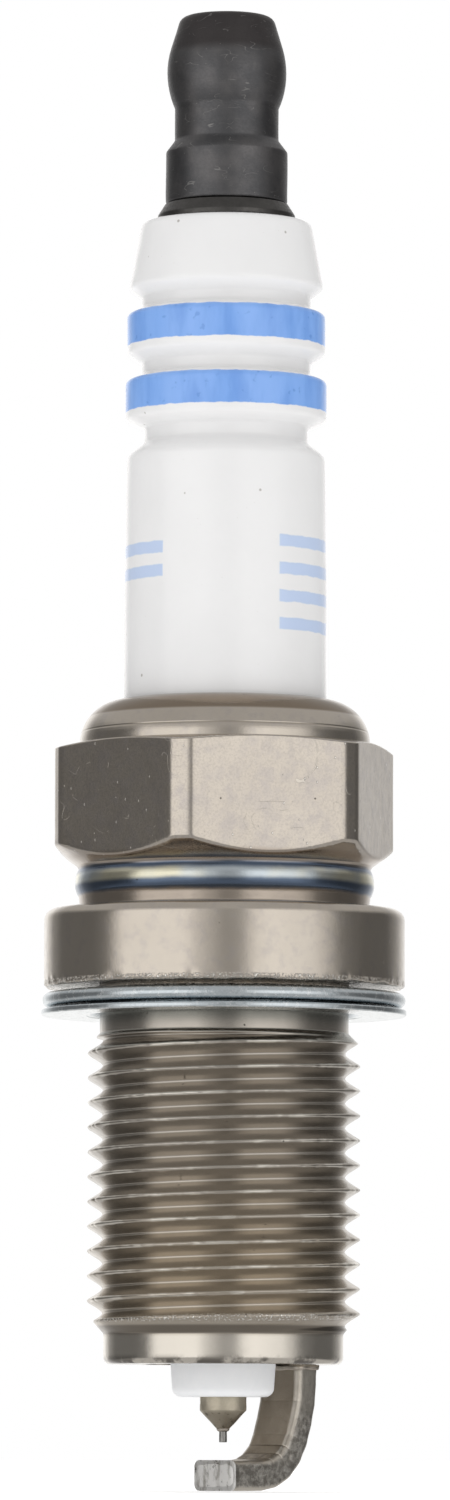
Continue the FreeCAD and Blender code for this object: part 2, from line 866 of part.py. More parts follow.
def sketch_at_rim(body, name, sizes):
    """A sketch across the plug, in the plane of the shell's rim."""
    sketch = new_sketch(body, name, "XY_Plane")
    offset = FreeCAD.Vector(0, 0, sizes.rim_level.value)
    sketch.AttachmentOffset = FreeCAD.Placement(offset, FreeCAD.Rotation())
    sketch.setExpression("AttachmentOffset.Base.z", sizes.rim_level.text)
    return sketch


def make_ground_electrode(doc, sizes):
    body = new_body(doc, "ground_electrode")
    section = sketch_at_rim(body, "strap_section", sizes)
    Outline(
        section,
        rectangle(
            sizes.strap_radius,
            sizes.strap_thickness,
            sizes.strap_width,
            sizes.strap_edge_round,
        ),
    )
    path = new_sketch(body, "strap_path")
    Outline(
        path,
        [
            Corner(sizes.strap_radius, sizes.rim_level),
            Corner(sizes.strap_radius, sizes.strap_lean_level, sizes.strap_lean_curve),
            Corner(sizes.strap_elbow_radius, sizes.strap_level, sizes.strap_elbow_curve),
            Corner(sizes.strap_end_radius, sizes.strap_level),
        ],
        closed=False,
    )
    doc.recompute()
    strap = body.newObject("PartDesign::AdditivePipe", "strap")
    strap.Profile = section
    strap.Spine = (path, [f"Edge{number + 1}" for number in range(len(path.Shape.Edges))])
    turn_about_axis(body, sizes)
    doc.recompute()


def make_ground_electrode_weld(doc, sizes):
    """The flash squeezed out round the strap's root, a low collar of metal on the rim."""
    body = new_body(doc, "ground_electrode_weld")
    flash = sizes.strap_weld_flash
    sketch = sketch_at_rim(body, "weld_section", sizes)
    thick, wide = sizes.strap_thickness, sizes.strap_width
    Outline(
        sketch,
        rectangle(
            sizes.strap_radius,
            thick + flash * 2,
            wide + flash * 2,
            sizes.strap_edge_round + flash,
        ),
    )
    Outline(sketch, rectangle(sizes.strap_radius, thick, wide, sizes.strap_edge_round))
    doc.recompute()
    flash_ring = body.newObject("PartDesign::Pad", "weld_flash")
    flash_ring.Profile = sketch
    flash_ring.setExpression("Length", sizes.strap_weld_height.text)
    flash_ring.Reversed = True
    turn_about_axis(body, sizes)
    doc.recompute()


def check_document(doc):
    """Stop if any object of the document failed."""
    failed = [
        thing.Name
        for thing in doc.Objects
        if "Invalid" in thing.State or "Error" in thing.State
    ]
    if failed:
        raise RuntimeError(f"these objects failed: {failed}")


def pieces_of(doc):
    """The objects that are pieces of the plug: bodies and free-standing primitives."""
    kinds = ("PartDesign::Body", "Part::Cylinder", "Part::Torus")
    return [thing for thing in doc.Objects if thing.TypeId in kinds]


def write_pieces(doc):
    """Check each piece's solid, then write them all, one STEP file each."""
    pieces = pieces_of(doc)
    for piece in pieces:
        if piece.Shape.isNull() or not piece.Shape.isValid():
            raise RuntimeError(f"{piece.Label} has no valid shape")
        if len(piece.Shape.Solids) != 1:
            raise RuntimeError(f"{piece.Label} is {len(piece.Shape.Solids)} solids")
    os.makedirs("parts", exist_ok=True)
    for piece in pieces:
        piece.Shape.exportStep(f"parts/{piece.Label}.step")
        print(f"{piece.Label}: {piece.Shape.Volume:.3f} mm3")


def main():
    doc = FreeCAD.newDocument("spark_plug")
    sizes = make_sheet(doc)
    make_terminal_nut(doc, sizes)
    make_terminal_stud(doc, sizes)
    make_insulator(doc, sizes)
    make_upper_glass_seal(doc, sizes)
    make_resistor(doc, sizes)
    make_lower_glass_seal(doc, sizes)
    make_centre_electrode(doc, sizes)
    make_electrode_copper_core(doc, sizes)
    make_tip_weld(doc, sizes)
    make_iridium_tip(doc, sizes)
    make_shell(doc, sizes)
    make_packing_ring(doc, sizes, "lower_packing_ring", sizes.lower_packing_level)
    make_packing_ring(doc, sizes, "upper_packing_ring", sizes.upper_packing_level)
    make_talc_filling(doc, sizes)
    make_seat_washer(doc, sizes)
    make_gasket(doc, sizes)
    make_ground_electrode(doc, sizes)
    make_ground_electrode_weld(doc, sizes)
    doc.recompute()
    check_document(doc)
    write_pieces(doc)


main()
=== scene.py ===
import math

import bpy
import numpy as np
from mathutils import Matrix, Vector

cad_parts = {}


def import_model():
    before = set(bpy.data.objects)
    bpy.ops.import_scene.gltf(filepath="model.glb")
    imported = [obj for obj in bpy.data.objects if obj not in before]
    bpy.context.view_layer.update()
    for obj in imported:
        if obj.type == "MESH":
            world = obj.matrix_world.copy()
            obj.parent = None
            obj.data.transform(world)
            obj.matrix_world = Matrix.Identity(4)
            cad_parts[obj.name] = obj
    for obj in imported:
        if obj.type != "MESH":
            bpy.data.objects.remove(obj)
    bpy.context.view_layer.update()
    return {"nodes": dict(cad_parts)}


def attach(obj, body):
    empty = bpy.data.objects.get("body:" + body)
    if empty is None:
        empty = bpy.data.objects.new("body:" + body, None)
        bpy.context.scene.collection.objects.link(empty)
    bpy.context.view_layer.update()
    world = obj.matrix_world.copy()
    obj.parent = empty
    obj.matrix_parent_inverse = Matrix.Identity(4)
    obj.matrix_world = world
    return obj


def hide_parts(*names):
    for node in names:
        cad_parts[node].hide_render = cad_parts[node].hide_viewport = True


# The looks of a spark plug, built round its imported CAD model.
# Lengths are millimetres along the plug: a radius is measured from its axis, and a level is a height
# above the gasket's lower face. A turn is an angle about the axis, anticlockwise seen from the
# terminal, and the camera looks from the turn of -90 degrees. Meshes are written in metres.

MM = 0.001
FULL_TURN = 2 * math.pi
SIXTH_TURN = math.radians(60)
EDGE = 0.06  # rounding of an edge that has none of its own
LATHE_COLUMNS = 192

STRAIGHT = math.radians(88)  # half an angle that is too flat to need rounding
ARC_STEP = math.radians(18)
ARC_ROOM = 0.49  # share of a side that the rounding at its end may take

NUT_FOOT, NUT_TOP = 41.42, 51.1

LIP_RADIUS, LIP_LEVEL = 5.22, 16.0
HEX_FLAT = 7.875
HEX_CORNER = 8.82
HEX_TURN = math.radians(45.9)
HEX_LOW, HEX_HIGH = 7.45, 13.75
HEX_BLEND = 0.12
COLLAR_RADIUS = 9.14
COLLAR_LOW, COLLAR_HIGH = 1.42, 5.38
NECK_RADIUS = 6.3

THREAD_PITCH = 1.25
THREAD_CREST = 6.9
THREAD_ROOT = 6.12
THREAD_GROOVE_LEVEL = -0.3465  # middle of the first groove, at a turn of 90 degrees
THREAD_TOP, THREAD_BOTTOM = -0.75, -16.2
THREAD_TURNS = 10
FLANK_SLOPE = math.tan(math.radians(30))
ROOT_ROUND = 0.14
CREST_ROUND = 0.09
# Rows of the mesh over one pitch of the thread, in mm below the first of them.
THREAD_ROWS = [0, 0.05, 0.1, 0.17, 0.3, 0.43, 0.53, 0.625, 0.72, 0.82, 0.95, 1.08, 1.15, 1.2]

PILOT_RADIUS = 6.06
RIM_LEVEL = -17.59

WIRE_RADIUS = 0.2
WIRE_TOP, WIRE_END = -20.4, -21.5
CONE_RADIUS, CONE_END = 0.34, -20.8  # the small end of the centre electrode's cone

STRAP_TURN = math.radians(46.5)
STRAP_RADIUS = 4.85
STRAP_WIDTH = 2.8
STRAP_THICKNESS = 1.55
STRAP_ROUND = 0.34


# ---- outlines


def arc_at(here, before, after, rounding):
    """Points of the arc that rounds the corner at one point of an outline."""
    into, out = before - here, after - here
    room = ARC_ROOM * min(np.linalg.norm(into), np.linalg.norm(out))
    into, out = into / np.linalg.norm(into), out / np.linalg.norm(out)
    half = math.acos(float(np.clip(into @ out, -1, 1))) / 2
    if half > STRAIGHT:
        return [here]
    back = min(rounding / math.tan(half), room)
    centre = here + (into + out) / np.linalg.norm(into + out) * back / math.cos(half)
    start, end = here + into * back - centre, here + out * back - centre
    swing = math.pi - 2 * half
    pieces = max(2, math.ceil(swing / ARC_STEP))
    shares = np.arange(pieces + 1) / pieces
    return [
        centre + (start * math.sin((1 - s) * swing) + end * math.sin(s * swing)) / math.sin(swing)
        for s in shares
    ]


def bow(start, end, curve, outward=True, pieces=10):
    """Corners along an arc between two points, bulging away from the axis or towards it."""
    start, end = np.array(start, float), np.array(end, float)
    chord = end - start
    half = np.linalg.norm(chord) / 2
    across = np.array([chord[1], -chord[0]]) / (2 * half)
    if (across[0] < 0) == outward:
        across = -across
    centre = (start + end) / 2 - across * math.sqrt(max(curve**2 - half**2, 0))
    reach = math.asin(min(1.0, half / curve))
    along = chord / (2 * half)
    swings = np.linspace(-reach, reach, pieces + 1)
    points = [centre + curve * (across * math.cos(a) + along * math.sin(a)) for a in swings]
    return [(p[0], p[1], 0) for p in points]


def outline(corners, step, closed=True):
    """Points (radius, level) no more than a step apart, along corners (radius, level, rounding)."""
    points = []
    last = len(corners) - 1
    for index, (radius, level, rounding) in enumerate(corners):
        here = np.array([radius, level], float)
        if rounding <= 0 or (not closed and index in (0, last)):
            points.append(here)
            continue
        before = np.array(corners[index - 1][:2], float)
        after = np.array(corners[(index + 1) % len(corners)][:2], float)
        points += arc_at(here, before, after, rounding)
    if closed:
        points.append(points[0])
    fine = []
    for start, end in zip(points, points[1:]):
        pieces = max(1, math.ceil(np.linalg.norm(end - start) / step))
        fine += [start + (end - start) * k / pieces for k in range(pieces)]
    if not closed:
        fine.append(points[-1])
    return np.array(fine)


# ---- unevenness


def ripple(turn, level, seed, around, along, waves=14):
    """Smooth unevenness of about -1 to 1 that closes on itself round the axis."""
    draw = np.random.default_rng(seed)
    total = np.zeros(np.broadcast(turn, level).shape)
    for _ in range(waves):
        lobes = draw.integers(1, around + 1)
        rise = draw.uniform(-along, along)
        total += np.sin(lobes * turn + rise * level + draw.uniform(0, FULL_TURN))
    return total / math.sqrt(waves)


def dents(turn, level, radius, seed, count, levels, sizes, turns=(0, FULL_TURN)):
    """Small round dents, each 0 to 1 deep, scattered over a band of levels."""
    draw = np.random.default_rng(seed)
    total = np.zeros(np.broadcast(turn, level).shape)
    for _ in range(count):
        centre = draw.uniform(*turns)
        height = draw.uniform(*levels)
        size = draw.uniform(*sizes)
        depth = draw.uniform(0.4, 1.0)
        around = (turn - centre + math.pi) % FULL_TURN - math.pi
        distance = (around * radius) ** 2 + (level - height) ** 2
        total += depth * np.exp(-distance / size**2)
    return total


def soft_min(first, second, blend):
    """The lesser of two values, rounded over where they meet."""
    overlap = np.maximum(blend - np.abs(first - second), 0)
    return np.minimum(first, second) - overlap**2 / (4 * blend)


def fade(value, low, high):
    """0 below low, 1 above high and smooth between."""
    share = np.clip((value - low) / (high - low), 0, 1)
    return share * share * (3 - 2 * share)


def between(value, low, high, soft):
    """1 inside a band and 0 outside, with soft ends."""
    return fade(value, low - soft, low + soft) * (1 - fade(value, high - soft, high + soft))


# ---- meshes


def put_in_scene(name, data):
    thing = bpy.data.objects.new(name, data)
    bpy.context.scene.collection.objects.link(thing)
    return thing


def make_object(name, points, faces):
    """A smooth-shaded object from points in mm, with its faces turned outwards."""
    points = np.asarray(points, float) * MM
    triangles = [(f[0], f[k], f[k + 1]) for f in faces for k in range(1, len(f) - 1)]
    first, second, third = (points[list(corner)] for corner in zip(*triangles))
    if np.sum(first * np.cross(second, third)) < 0:
        faces = [face[::-1] for face in faces]
    mesh = bpy.data.meshes.new(name)
    mesh.from_pydata(points.tolist(), [], faces)
    mesh.shade_smooth()
    thing = put_in_scene(name, mesh)
    shading = thing.modifiers.new("even_shading", "WEIGHTED_NORMAL")
    shading.keep_sharp = False
    return thing


def quad(row, next_row, column, columns):
    """One face between two rows of a grid whose columns go all the way round."""
    after = (column + 1) % columns
    here, there = row * columns, next_row * columns
    return (here + column, there + column, there + after, here + after)


def strip(rows, columns):
    """Faces between the rows of a grid."""
    faces = []
    for row in range(rows - 1):
        faces += [quad(row, row + 1, column, columns) for column in range(columns)]
    return faces


def closing_faces(rows, columns):
    """Faces that join a grid's last row to its first."""
    return [quad(rows - 1, 0, column, columns) for column in range(columns)]


def wrapped(radius, level, turn):
    """Points at a radius, level and turn each."""
    return np.stack([radius * np.cos(turn), radius * np.sin(turn), level], axis=-1)


def turned(name, rows, shape, columns=LATHE_COLUMNS, closed=True):
    """Turn an outline about the axis. shape(radius, level, turn) moves its points."""
    turns = np.arange(columns) * FULL_TURN / columns
    radius = np.repeat(rows[:, :1], columns, axis=1)
    level = np.repeat(rows[:, 1:2], columns, axis=1)
    turn = np.repeat(turns[None, :], len(rows), axis=0)
    radius, level = shape(radius, level, turn)
    points = wrapped(radius, level, turn).reshape(-1, 3)
    faces = strip(len(rows), columns)
    if closed:
        return make_object(name, points, faces + closing_faces(len(rows), columns))
    top, bottom = len(points), len(points) + 1
    poles = [(0, 0, rows[0][1]), (0, 0, rows[-1][1])]
    points = np.vstack([points, poles])
    last = (len(rows) - 1) * columns
    for column in range(columns):
        after = (column + 1) % columns
        faces.append((top, column, after))
        faces.append((bottom, last + after, last + column))
    return make_object(name, points, faces)


# ---- terminal nut


def make_terminal_nut():
    corners = [
        (2.0, NUT_FOOT, EDGE), (3.1, NUT_FOOT, 0.18), (3.1, 44.1, 0.2), (2.65, 44.7, 0.25),
        *bow((2.65, 46.38), (2.86, 49.45), 4.5),
        (2.36, NUT_TOP, 0.5), (1.2, NUT_TOP, 0), (0.4, NUT_TOP - 0.01, 0),
    ]
    outside = outline(corners, 0.16, closed=False)
    bore = [(0.3, 49.45, 0), (2.0, 48.6, EDGE), (2.0, NUT_FOOT, 0)]
    inside = outline(bore, 0.5, closed=False)

    def shape(radius, level, turn):
        skin = between(level, 41.7, 50.6, 0.3) * (radius > 2.2)
        uneven = 0.008 * ripple(turn, level, 11, 5, 2.0)
        pits = 0.014 * dents(turn, level, 2.9, 12, 26, (41.6, 50.8), (0.08, 0.2))
        return radius + skin * (uneven - pits), level

    rows = np.vstack([inside, outside])
    return turned("terminal_nut_finish", rows, shape, columns=128)


# ---- insulator


def make_insulator():
    groove, small = 4.28, 0.18
    glaze_end = 15.9
    nose_end = -19.22
    corners = [
        (2.0, 40.5, EDGE), (4.33, 40.5, 0.45), (4.94, 37.1, 0.3), (groove, 36.6, small),
        (groove, 36.05, small), (5.04, 35.72, 0.3), (5.04, 33.72, 0.3), (groove, 33.25, small),
        (groove, 32.62, small), (5.12, 32.3, 0.3), (5.12, 30.32, 0.3), (4.15, 29.9, small),
        (4.15, 29.15, 0.3), (5.04, 28.45, 0.45), (5.14, 22.9, 3.0), (5.14, glaze_end, EDGE),
        (5.1, glaze_end, EDGE), (5.1, 11.0, EDGE), (5.85, 10.25, EDGE), (5.85, 3.0, EDGE),
        (4.6, 2.2, EDGE), (4.6, -6.19, EDGE), (3.4, -6.91, EDGE), (2.55, nose_end, 0.46),
        (1.2, nose_end, 0.12), (1.2, 0.8, 0), (2.0, 1.6, 0),
    ]

    def shape(radius, level, turn):
        glazed = fade(level, 16.8, 17.6) * (1 - fade(level, 40.0, 40.4)) * (radius > 3)
        nose = (1 - fade(level, -16.0, -12.0)) * (radius > 2.3)
        uneven = 0.012 * ripple(turn, level, 21, 4, 1.2)
        return radius + (glazed + nose) * uneven, level

    return turned("insulator_finish", outline(corners, 0.3), shape)


# ---- electrodes at the nose


def make_centre_electrode():
    corners = [
        (0.62, 2.9, 0), (0.62, -16.88, 0), (0.02, -17.48, 0), (0.02, WIRE_TOP, 0),
        (WIRE_RADIUS, WIRE_TOP, 0), (WIRE_RADIUS, CONE_END, 0), (CONE_RADIUS, CONE_END, 0.03),
        (1.178, -19.9, 0.07), (1.178, 0.78, 0), (1.65, 1.25, 0), (1.65, 2.9, 0),
    ]

    def shape(radius, level, turn):
        shown = (radius > 0.3) * (1 - fade(level, -19.3, -19.1))
        marks = 0.012 * ripple(turn, level, 31, 7, 9.0)
        pits = 0.03 * dents(turn, level, 0.9, 32, 40, (CONE_END, -19.4), (0.05, 0.12))
        return radius + shown * (marks - pits), level

    rows = outline(corners, 0.12)
    return turned("centre_electrode_finish", rows, shape, columns=96)


def make_tip_weld():
    corners = [
        (WIRE_RADIUS, CONE_END, 0), (CONE_RADIUS, CONE_END, 0.02), (0.29, -20.92, 0.05),
        (WIRE_RADIUS, -20.98, 0.02),
    ]

    def shape(radius, level, turn):
        outside = fade(radius, 0.22, 0.28)
        return radius + outside * 0.012 * ripple(turn, level, 41, 9, 8.0), level

    return turned("tip_weld_finish", outline(corners, 0.03), shape, columns=64)


def make_iridium_tip():
    corners = [
        (0.02, WIRE_TOP, 0), (WIRE_RADIUS, WIRE_TOP, 0), (WIRE_RADIUS, WIRE_END, 0.03),
        (0.02, WIRE_END, 0),
    ]

    def shape(radius, level, turn):
        shown = (radius > 0.1) * (1 - fade(level, -20.95, -20.85))
        return radius - shown * 0.004 * (1 + ripple(turn, level, 42, 6, 12.0)), level

    return turned("iridium_tip_finish", outline(corners, 0.06), shape, columns=64, closed=False)


# ---- gasket


def make_gasket():
    sheet, gap, edge = 0.31, 0.11, 9.27
    fold = sheet + gap / 2
    inner, outer = 6.62 + fold, 9.22 - fold
    first, second = sheet, sheet + gap
    third, fourth = sheet * 2 + gap, sheet * 2 + gap * 2
    top = sheet * 3 + gap * 2
    corners = [
        (inner, 0, 0), (edge, 0, 0.1), (edge, first, 0.1),
        *bow((inner, first), (inner, second), gap / 2),
        *bow((outer, second), (outer, top), fold),
        (7.0, top, 0.08), (7.0, fourth, 0.08),
        *bow((outer, fourth), (outer, third), gap / 2),
        *bow((inner, third), (inner, 0), fold, outward=False),
    ]

    def shape(radius, level, turn):
        rim = fade(radius, 8.7, 9.1)
        lowest = 1 - fade(level, 0.05, 0.2)
        dips = dents(turn, radius, 8.6, 51, 70, (7.4, 9.2), (0.1, 0.3))
        wave = 0.5 + 0.35 * ripple(turn, level, 52, 5, 0.4)
        radius = radius - rim * 0.05 * np.clip(wave, 0, 1)
        level = level + lowest * 0.03 * np.clip(dips, 0, 1)
        return radius, level

    return turned("gasket_finish", outline(corners, 0.13), shape, columns=256)


# ---- shell


def shell_columns():
    """Turns of the shell's columns: even ones, with more beside each edge of the hexagon."""
    even = 168
    turns = set(np.round(np.arange(even) * FULL_TURN / even, 6))
    half = edge_of_corner_flat()
    for index in range(6):
        middle = HEX_TURN + SIXTH_TURN / 2 + index * SIXTH_TURN
        for side in (-1, 1):
            for offset in (-1.3, -0.6, 0.0, 0.6, 1.3):
                turns.add(round((middle + side * half + math.radians(offset)) % FULL_TURN, 6))
    return np.array(sorted(turns))


def edge_of_corner_flat():
    """Angle from the middle of a corner flat to its edge, where it meets a main flat."""
    low, high = 0.0, SIXTH_TURN / 2
    for _ in range(40):
        middle = (low + high) / 2
        on_corner = HEX_CORNER / math.cos(middle)
        on_flat = HEX_FLAT / math.cos(SIXTH_TURN / 2 - middle)
        if on_corner < on_flat:
            low = middle
        else:
            high = middle
    return low


def distance_to_flats(turn, distance, first):
    """Radius of six flats, all at one distance from the axis, at each turn."""
    return distance / np.cos((turn - first + SIXTH_TURN / 2) % SIXTH_TURN - SIXTH_TURN / 2)


def mill_hexagon(radius, level, turn):
    """Cut the six flats, and the narrow flat at each corner, into the hexagon's levels."""
    milled = soft_min(radius, distance_to_flats(turn, HEX_FLAT, HEX_TURN), HEX_BLEND)
    corner_turn = HEX_TURN + SIXTH_TURN / 2
    milled = soft_min(milled, distance_to_flats(turn, HEX_CORNER, corner_turn), HEX_BLEND)
    return np.where((level > HEX_LOW) & (level < HEX_HIGH), milled, radius)


def thread_radius(level, turn):
    """Radius of the rolled thread, its crests and roots rounded over."""
    levels = [-16.05, -15.1, -1.5, -0.9]
    blank = np.interp(level, levels, [PILOT_RADIUS, THREAD_CREST, THREAD_CREST, NECK_RADIUS])
    turns = (level - THREAD_GROOVE_LEVEL) / THREAD_PITCH - (turn - math.pi / 2) / FULL_TURN
    offset = np.abs(turns - np.round(turns)) * THREAD_PITCH
    root_half = THREAD_PITCH * 7 / 16 - (THREAD_CREST - THREAD_ROOT) * FLANK_SLOPE
    beyond = offset - root_half
    climb = (beyond + np.sqrt(beyond**2 + ROOT_ROUND**2)) / 2 - ROOT_ROUND / 4
    groove = THREAD_ROOT + np.maximum(climb, 0) / FLANK_SLOPE
    reached = fade(level, -16.6, THREAD_BOTTOM) * (1 - fade(level, -1.2, THREAD_TOP))
    groove = groove + (1 - reached) * 2
    return soft_min(blank, groove, CREST_ROUND)


def thread_levels(turn):
    """Levels down one column. Its rows climb with the thread, so each keeps to one place on it."""
    climb = THREAD_PITCH * turn / FULL_TURN
    first = THREAD_GROOVE_LEVEL - THREAD_PITCH / 4 - 1.5 * THREAD_PITCH
    starts = [first + climb - index * THREAD_PITCH for index in range(THREAD_TURNS + 1)]
    rows = [start - row for start in starts[:-1] for row in THREAD_ROWS]
    rows.append(starts[-1])
    above = np.linspace(THREAD_TOP, rows[0], 17)[:-1]
    below = np.linspace(rows[-1], THREAD_BOTTOM, 21)[1:]
    return np.concatenate([above, rows, below])


def shell_outside():
    """The shell's outside from its lip down to the groove above the thread."""
    return [
        *bow((LIP_RADIUS, LIP_LEVEL), (7.36, 14.0), 2.2, pieces=16),
        (7.36, 13.7, 0.05), (7.8, 13.7, EDGE), (9.25, 13.34, 0), (9.25, 8.81, 0),
        (7.5, 7.58, 0.08),
        *bow((7.4, 7.4), (7.4, 6.0), 1.4),
        (7.33, COLLAR_HIGH, 0.15), (COLLAR_RADIUS, COLLAR_HIGH, 0.55),
        (COLLAR_RADIUS, COLLAR_LOW, 0.16), (NECK_RADIUS, COLLAR_LOW, 0.15),
        (NECK_RADIUS, THREAD_TOP, 0),
    ]


def shell_low_end():
    """The pilot below the thread, the rim and the bore, back up to the lip."""
    return [
        (PILOT_RADIUS, THREAD_BOTTOM, 0), (PILOT_RADIUS, RIM_LEVEL, 0.35),
        (4.05, RIM_LEVEL, 0.1), (4.05, -8.8, 0), (3.75, -8.5, 0), (3.75, -7.1, 0),
        (4.75, -6.5, 0), (4.75, 1.3, 0), (6.0, 2.2, 0), (6.0, 15.0, 0),
        (LIP_RADIUS, 15.75, EDGE), (LIP_RADIUS, LIP_LEVEL, 0),
    ]


def wear_shell(radius, level, turn):
    """Dent the hexagon and collar, batter the collar's lower edge and nick the thread's crests."""
    flats = between(level, 8.0, 13.4, 0.2) * (radius > 7.6)
    radius = radius - flats * 0.006 * dents(turn, level, 8.2, 61, 60, (7.9, 13.5), (0.1, 0.32))
    radius = radius + flats * 0.005 * ripple(turn, level, 62, 5, 0.9)
    collar = between(level, 1.6, 5.0, 0.15) * (radius > 8.8)
    radius = radius - collar * 0.006 * dents(turn, level, 9.1, 63, 40, (1.5, 5.2), (0.1, 0.35))
    rim = (1 - fade(level, 1.5, 1.95)) * (level > 1.3) * fade(radius, 8.7, 9.0)
    nicks = np.clip(ripple(turn, level, 64, 70, 1.0, waves=24), 0, 1.6)
    radius = radius - rim * 0.055 * nicks
    lumps = np.clip(ripple(turn, level, 65, 50, 1.0, waves=24), -0.5, 1.5)
    level = level + rim * 0.04 * lumps
    crest = fade(radius, 6.72, 6.86) * between(level, -15.3, -1.2, 0.2)
    chips = np.clip(ripple(turn, level, 66, 60, 9.0, waves=30), 0, 1.6)
    radius = radius - crest * 0.035 * chips
    lip = between(level, 13.9, 16.2, 0.2) * (radius > 5.6)
    radius = radius + lip * 0.004 * ripple(turn, level, 67, 4, 1.0)
    return radius, level


def make_shell():
    turns = shell_columns()
    columns = len(turns)
    above = outline(shell_outside(), 0.18, closed=False)[:-1]
    pilot = outline(shell_low_end()[:3], 0.15, closed=False)[1:]
    bore = outline(shell_low_end()[2:], 0.9, closed=False)[1:-1]
    below = np.vstack([pilot, bore])
    thread = np.stack([thread_levels(turn) for turn in turns], axis=1)
    turn_grid = turns[None, :]

    def across(rows, index):
        return np.repeat(rows[:, index : index + 1], columns, axis=1)

    upper = mill_hexagon(across(above, 0), across(above, 1), turn_grid)
    radius = np.vstack([upper, thread_radius(thread, turn_grid), across(below, 0)])
    level = np.vstack([across(above, 1), thread, across(below, 1)])
    turn = np.repeat(turn_grid, len(level), axis=0)
    radius, level = wear_shell(radius, level, turn)

    rows = len(level)
    first = len(above)
    last = first + len(thread) - 1
    faces = []
    for row in range(rows):
        joined = columns - 1 if first <= row < last else columns
        faces += [quad(row, (row + 1) % rows, column, columns) for column in range(joined)]
    faces += zip_seam(level, columns, first, last)
    return make_object("shell_finish", wrapped(radius, level, turn).reshape(-1, 3), faces)


def zip_seam(level, columns, first, last):
    """Triangles joining the thread's last column to its first, whose rows are a pitch higher."""
    faces = []
    left, right = first, first
    while left < last or right < last:
        left_next = level[left + 1][columns - 1] if left < last else -math.inf
        right_next = level[right + 1][0] if right < last else -math.inf
        left_point = left * columns + columns - 1
        right_point = right * columns
        if left_next >= right_next:
            faces.append((left_point, left_point + columns, right_point))
            left += 1
        else:
            faces.append((left_point, right_point + columns, right_point))
            right += 1
    return faces


# ---- ground electrode


def strap_section():
    """Points round the strap's section: across its thickness and across its width."""
    thick, wide = STRAP_THICKNESS / 2, STRAP_WIDTH / 2
    sides = [(thick, -wide), (thick, wide), (-thick, wide), (-thick, -wide)]
    return outline([(*side, STRAP_ROUND) for side in sides], 0.11)


def strap_path():
    """The strap's middle line, as radius and level, from its root to its free end."""
    corners = [
        (STRAP_RADIUS, RIM_LEVEL, 0), (STRAP_RADIUS, -19.52, 9.25), (3.52, -23.17, 3.15),
        (-0.62, -23.17, 0),
    ]
    return outline(corners, 0.1, closed=False)


def swing_to_strap(points):
    """Turn points made on the X axis side round to the strap's side."""
    radius, side, level = points[..., 0], points[..., 1], points[..., 2]
    cosine, sine = math.cos(STRAP_TURN), math.sin(STRAP_TURN)
    return np.stack([radius * cosine - side * sine, radius * sine + side * cosine, level], axis=-1)


def make_ground_electrode():
    path = strap_path()
    section = strap_section()
    along = np.gradient(path, axis=0)
    along /= np.linalg.norm(along, axis=1)[:, None]
    across = np.stack([-along[:, 1], along[:, 0]], axis=1)
    travel = np.concatenate([[0], np.cumsum(np.linalg.norm(np.diff(path, axis=0), axis=1))])
    whole = travel[-1]
    round_section = np.arange(len(section)) * FULL_TURN / len(section)

    rings = [root_ring(section, path[0], share) for share in (0.0, 0.4, 0.8)]
    for point, side, gone in zip(path, across, travel):
        rough = fade(gone, 0.2, 0.6) * (1 - fade(gone, whole - 0.3, whole - 0.1))
        wave = 0.010 * ripple(round_section, gone, 71, 6, 2.5)
        wave += 0.004 * ripple(round_section, gone, 72, 40, 9.0, waves=30)
        squeeze = 1 - rough * (0.012 + wave)
        thick, wide = section[:, 0] * squeeze, section[:, 1] * squeeze
        ring = np.stack([point[0] + side[0] * thick, wide, point[1] + side[1] * thick], axis=1)
        rings.append(ring)
    shares = (0.97, 0.9, 0.78, 0.62, 0.45, 0.28, 0.12, 0.0)
    rings += [sheared_ring(section, path[-1], share) for share in shares]
    points = swing_to_strap(np.array(rings)).reshape(-1, 3)
    return make_object("ground_electrode_finish", points, strip(len(rings), len(section)))


def root_ring(section, point, share):
    """A ring of the strap's root face, drawn in to a share of its section."""
    thick, wide = section[:, 0] * share, section[:, 1] * share
    return np.stack([point[0] + thick, wide, np.full(len(wide), point[1])], axis=1)


def sheared_ring(section, point, share):
    """A ring of the strap's end face, drawn in to a share of its section, with sheared streaks."""
    thick, wide = section[:, 0] * share, section[:, 1] * share
    streaks = ripple(wide * 2.2, thick, 74, 6, 1.2)
    lean = 0.02 * fade(np.abs(thick), 0.2, 0.8) + 0.005 * np.clip(streaks, -0.6, 1)
    edge = 0.06 * fade(share, 0.85, 1.0)
    inward = np.maximum(lean, 0) * (1 - share * 0.4) + edge
    return np.stack([point[0] + inward, wide, point[1] + thick], axis=1)


def make_ground_electrode_weld():
    """A lumpy bead of melted metal round the strap's root, under the rim."""
    around = strap_section()
    count = len(around)
    rounds = np.arange(count) * FULL_TURN / count
    outward = np.roll(around, -1, axis=0) - np.roll(around, 1, axis=0)
    outward = np.stack([outward[:, 1], -outward[:, 0]], axis=1)
    outward /= np.linalg.norm(outward, axis=1)[:, None]
    rings = []
    for swing in np.radians([180, 150, 120, 100, 80, 60, 40, 20, 0]):
        lump = 0.84 + 0.12 * ripple(rounds, swing, 81, 9, 1.5)
        reach = 0.14 * lump * (1 + math.cos(swing)) / 2
        drop = 0.28 * lump * math.sin(swing) ** 0.8 if 0 < swing < math.pi else 0 * lump
        near = around + outward * reach[:, None]
        rings.append(np.stack([STRAP_RADIUS + near[:, 0], near[:, 1], RIM_LEVEL - drop], axis=1))
    points = swing_to_strap(np.array(rings)).reshape(-1, 3)
    faces = strip(len(rings), count) + closing_faces(len(rings), count)
    return make_object("ground_electrode_weld_finish", points, faces)


# ---- materials


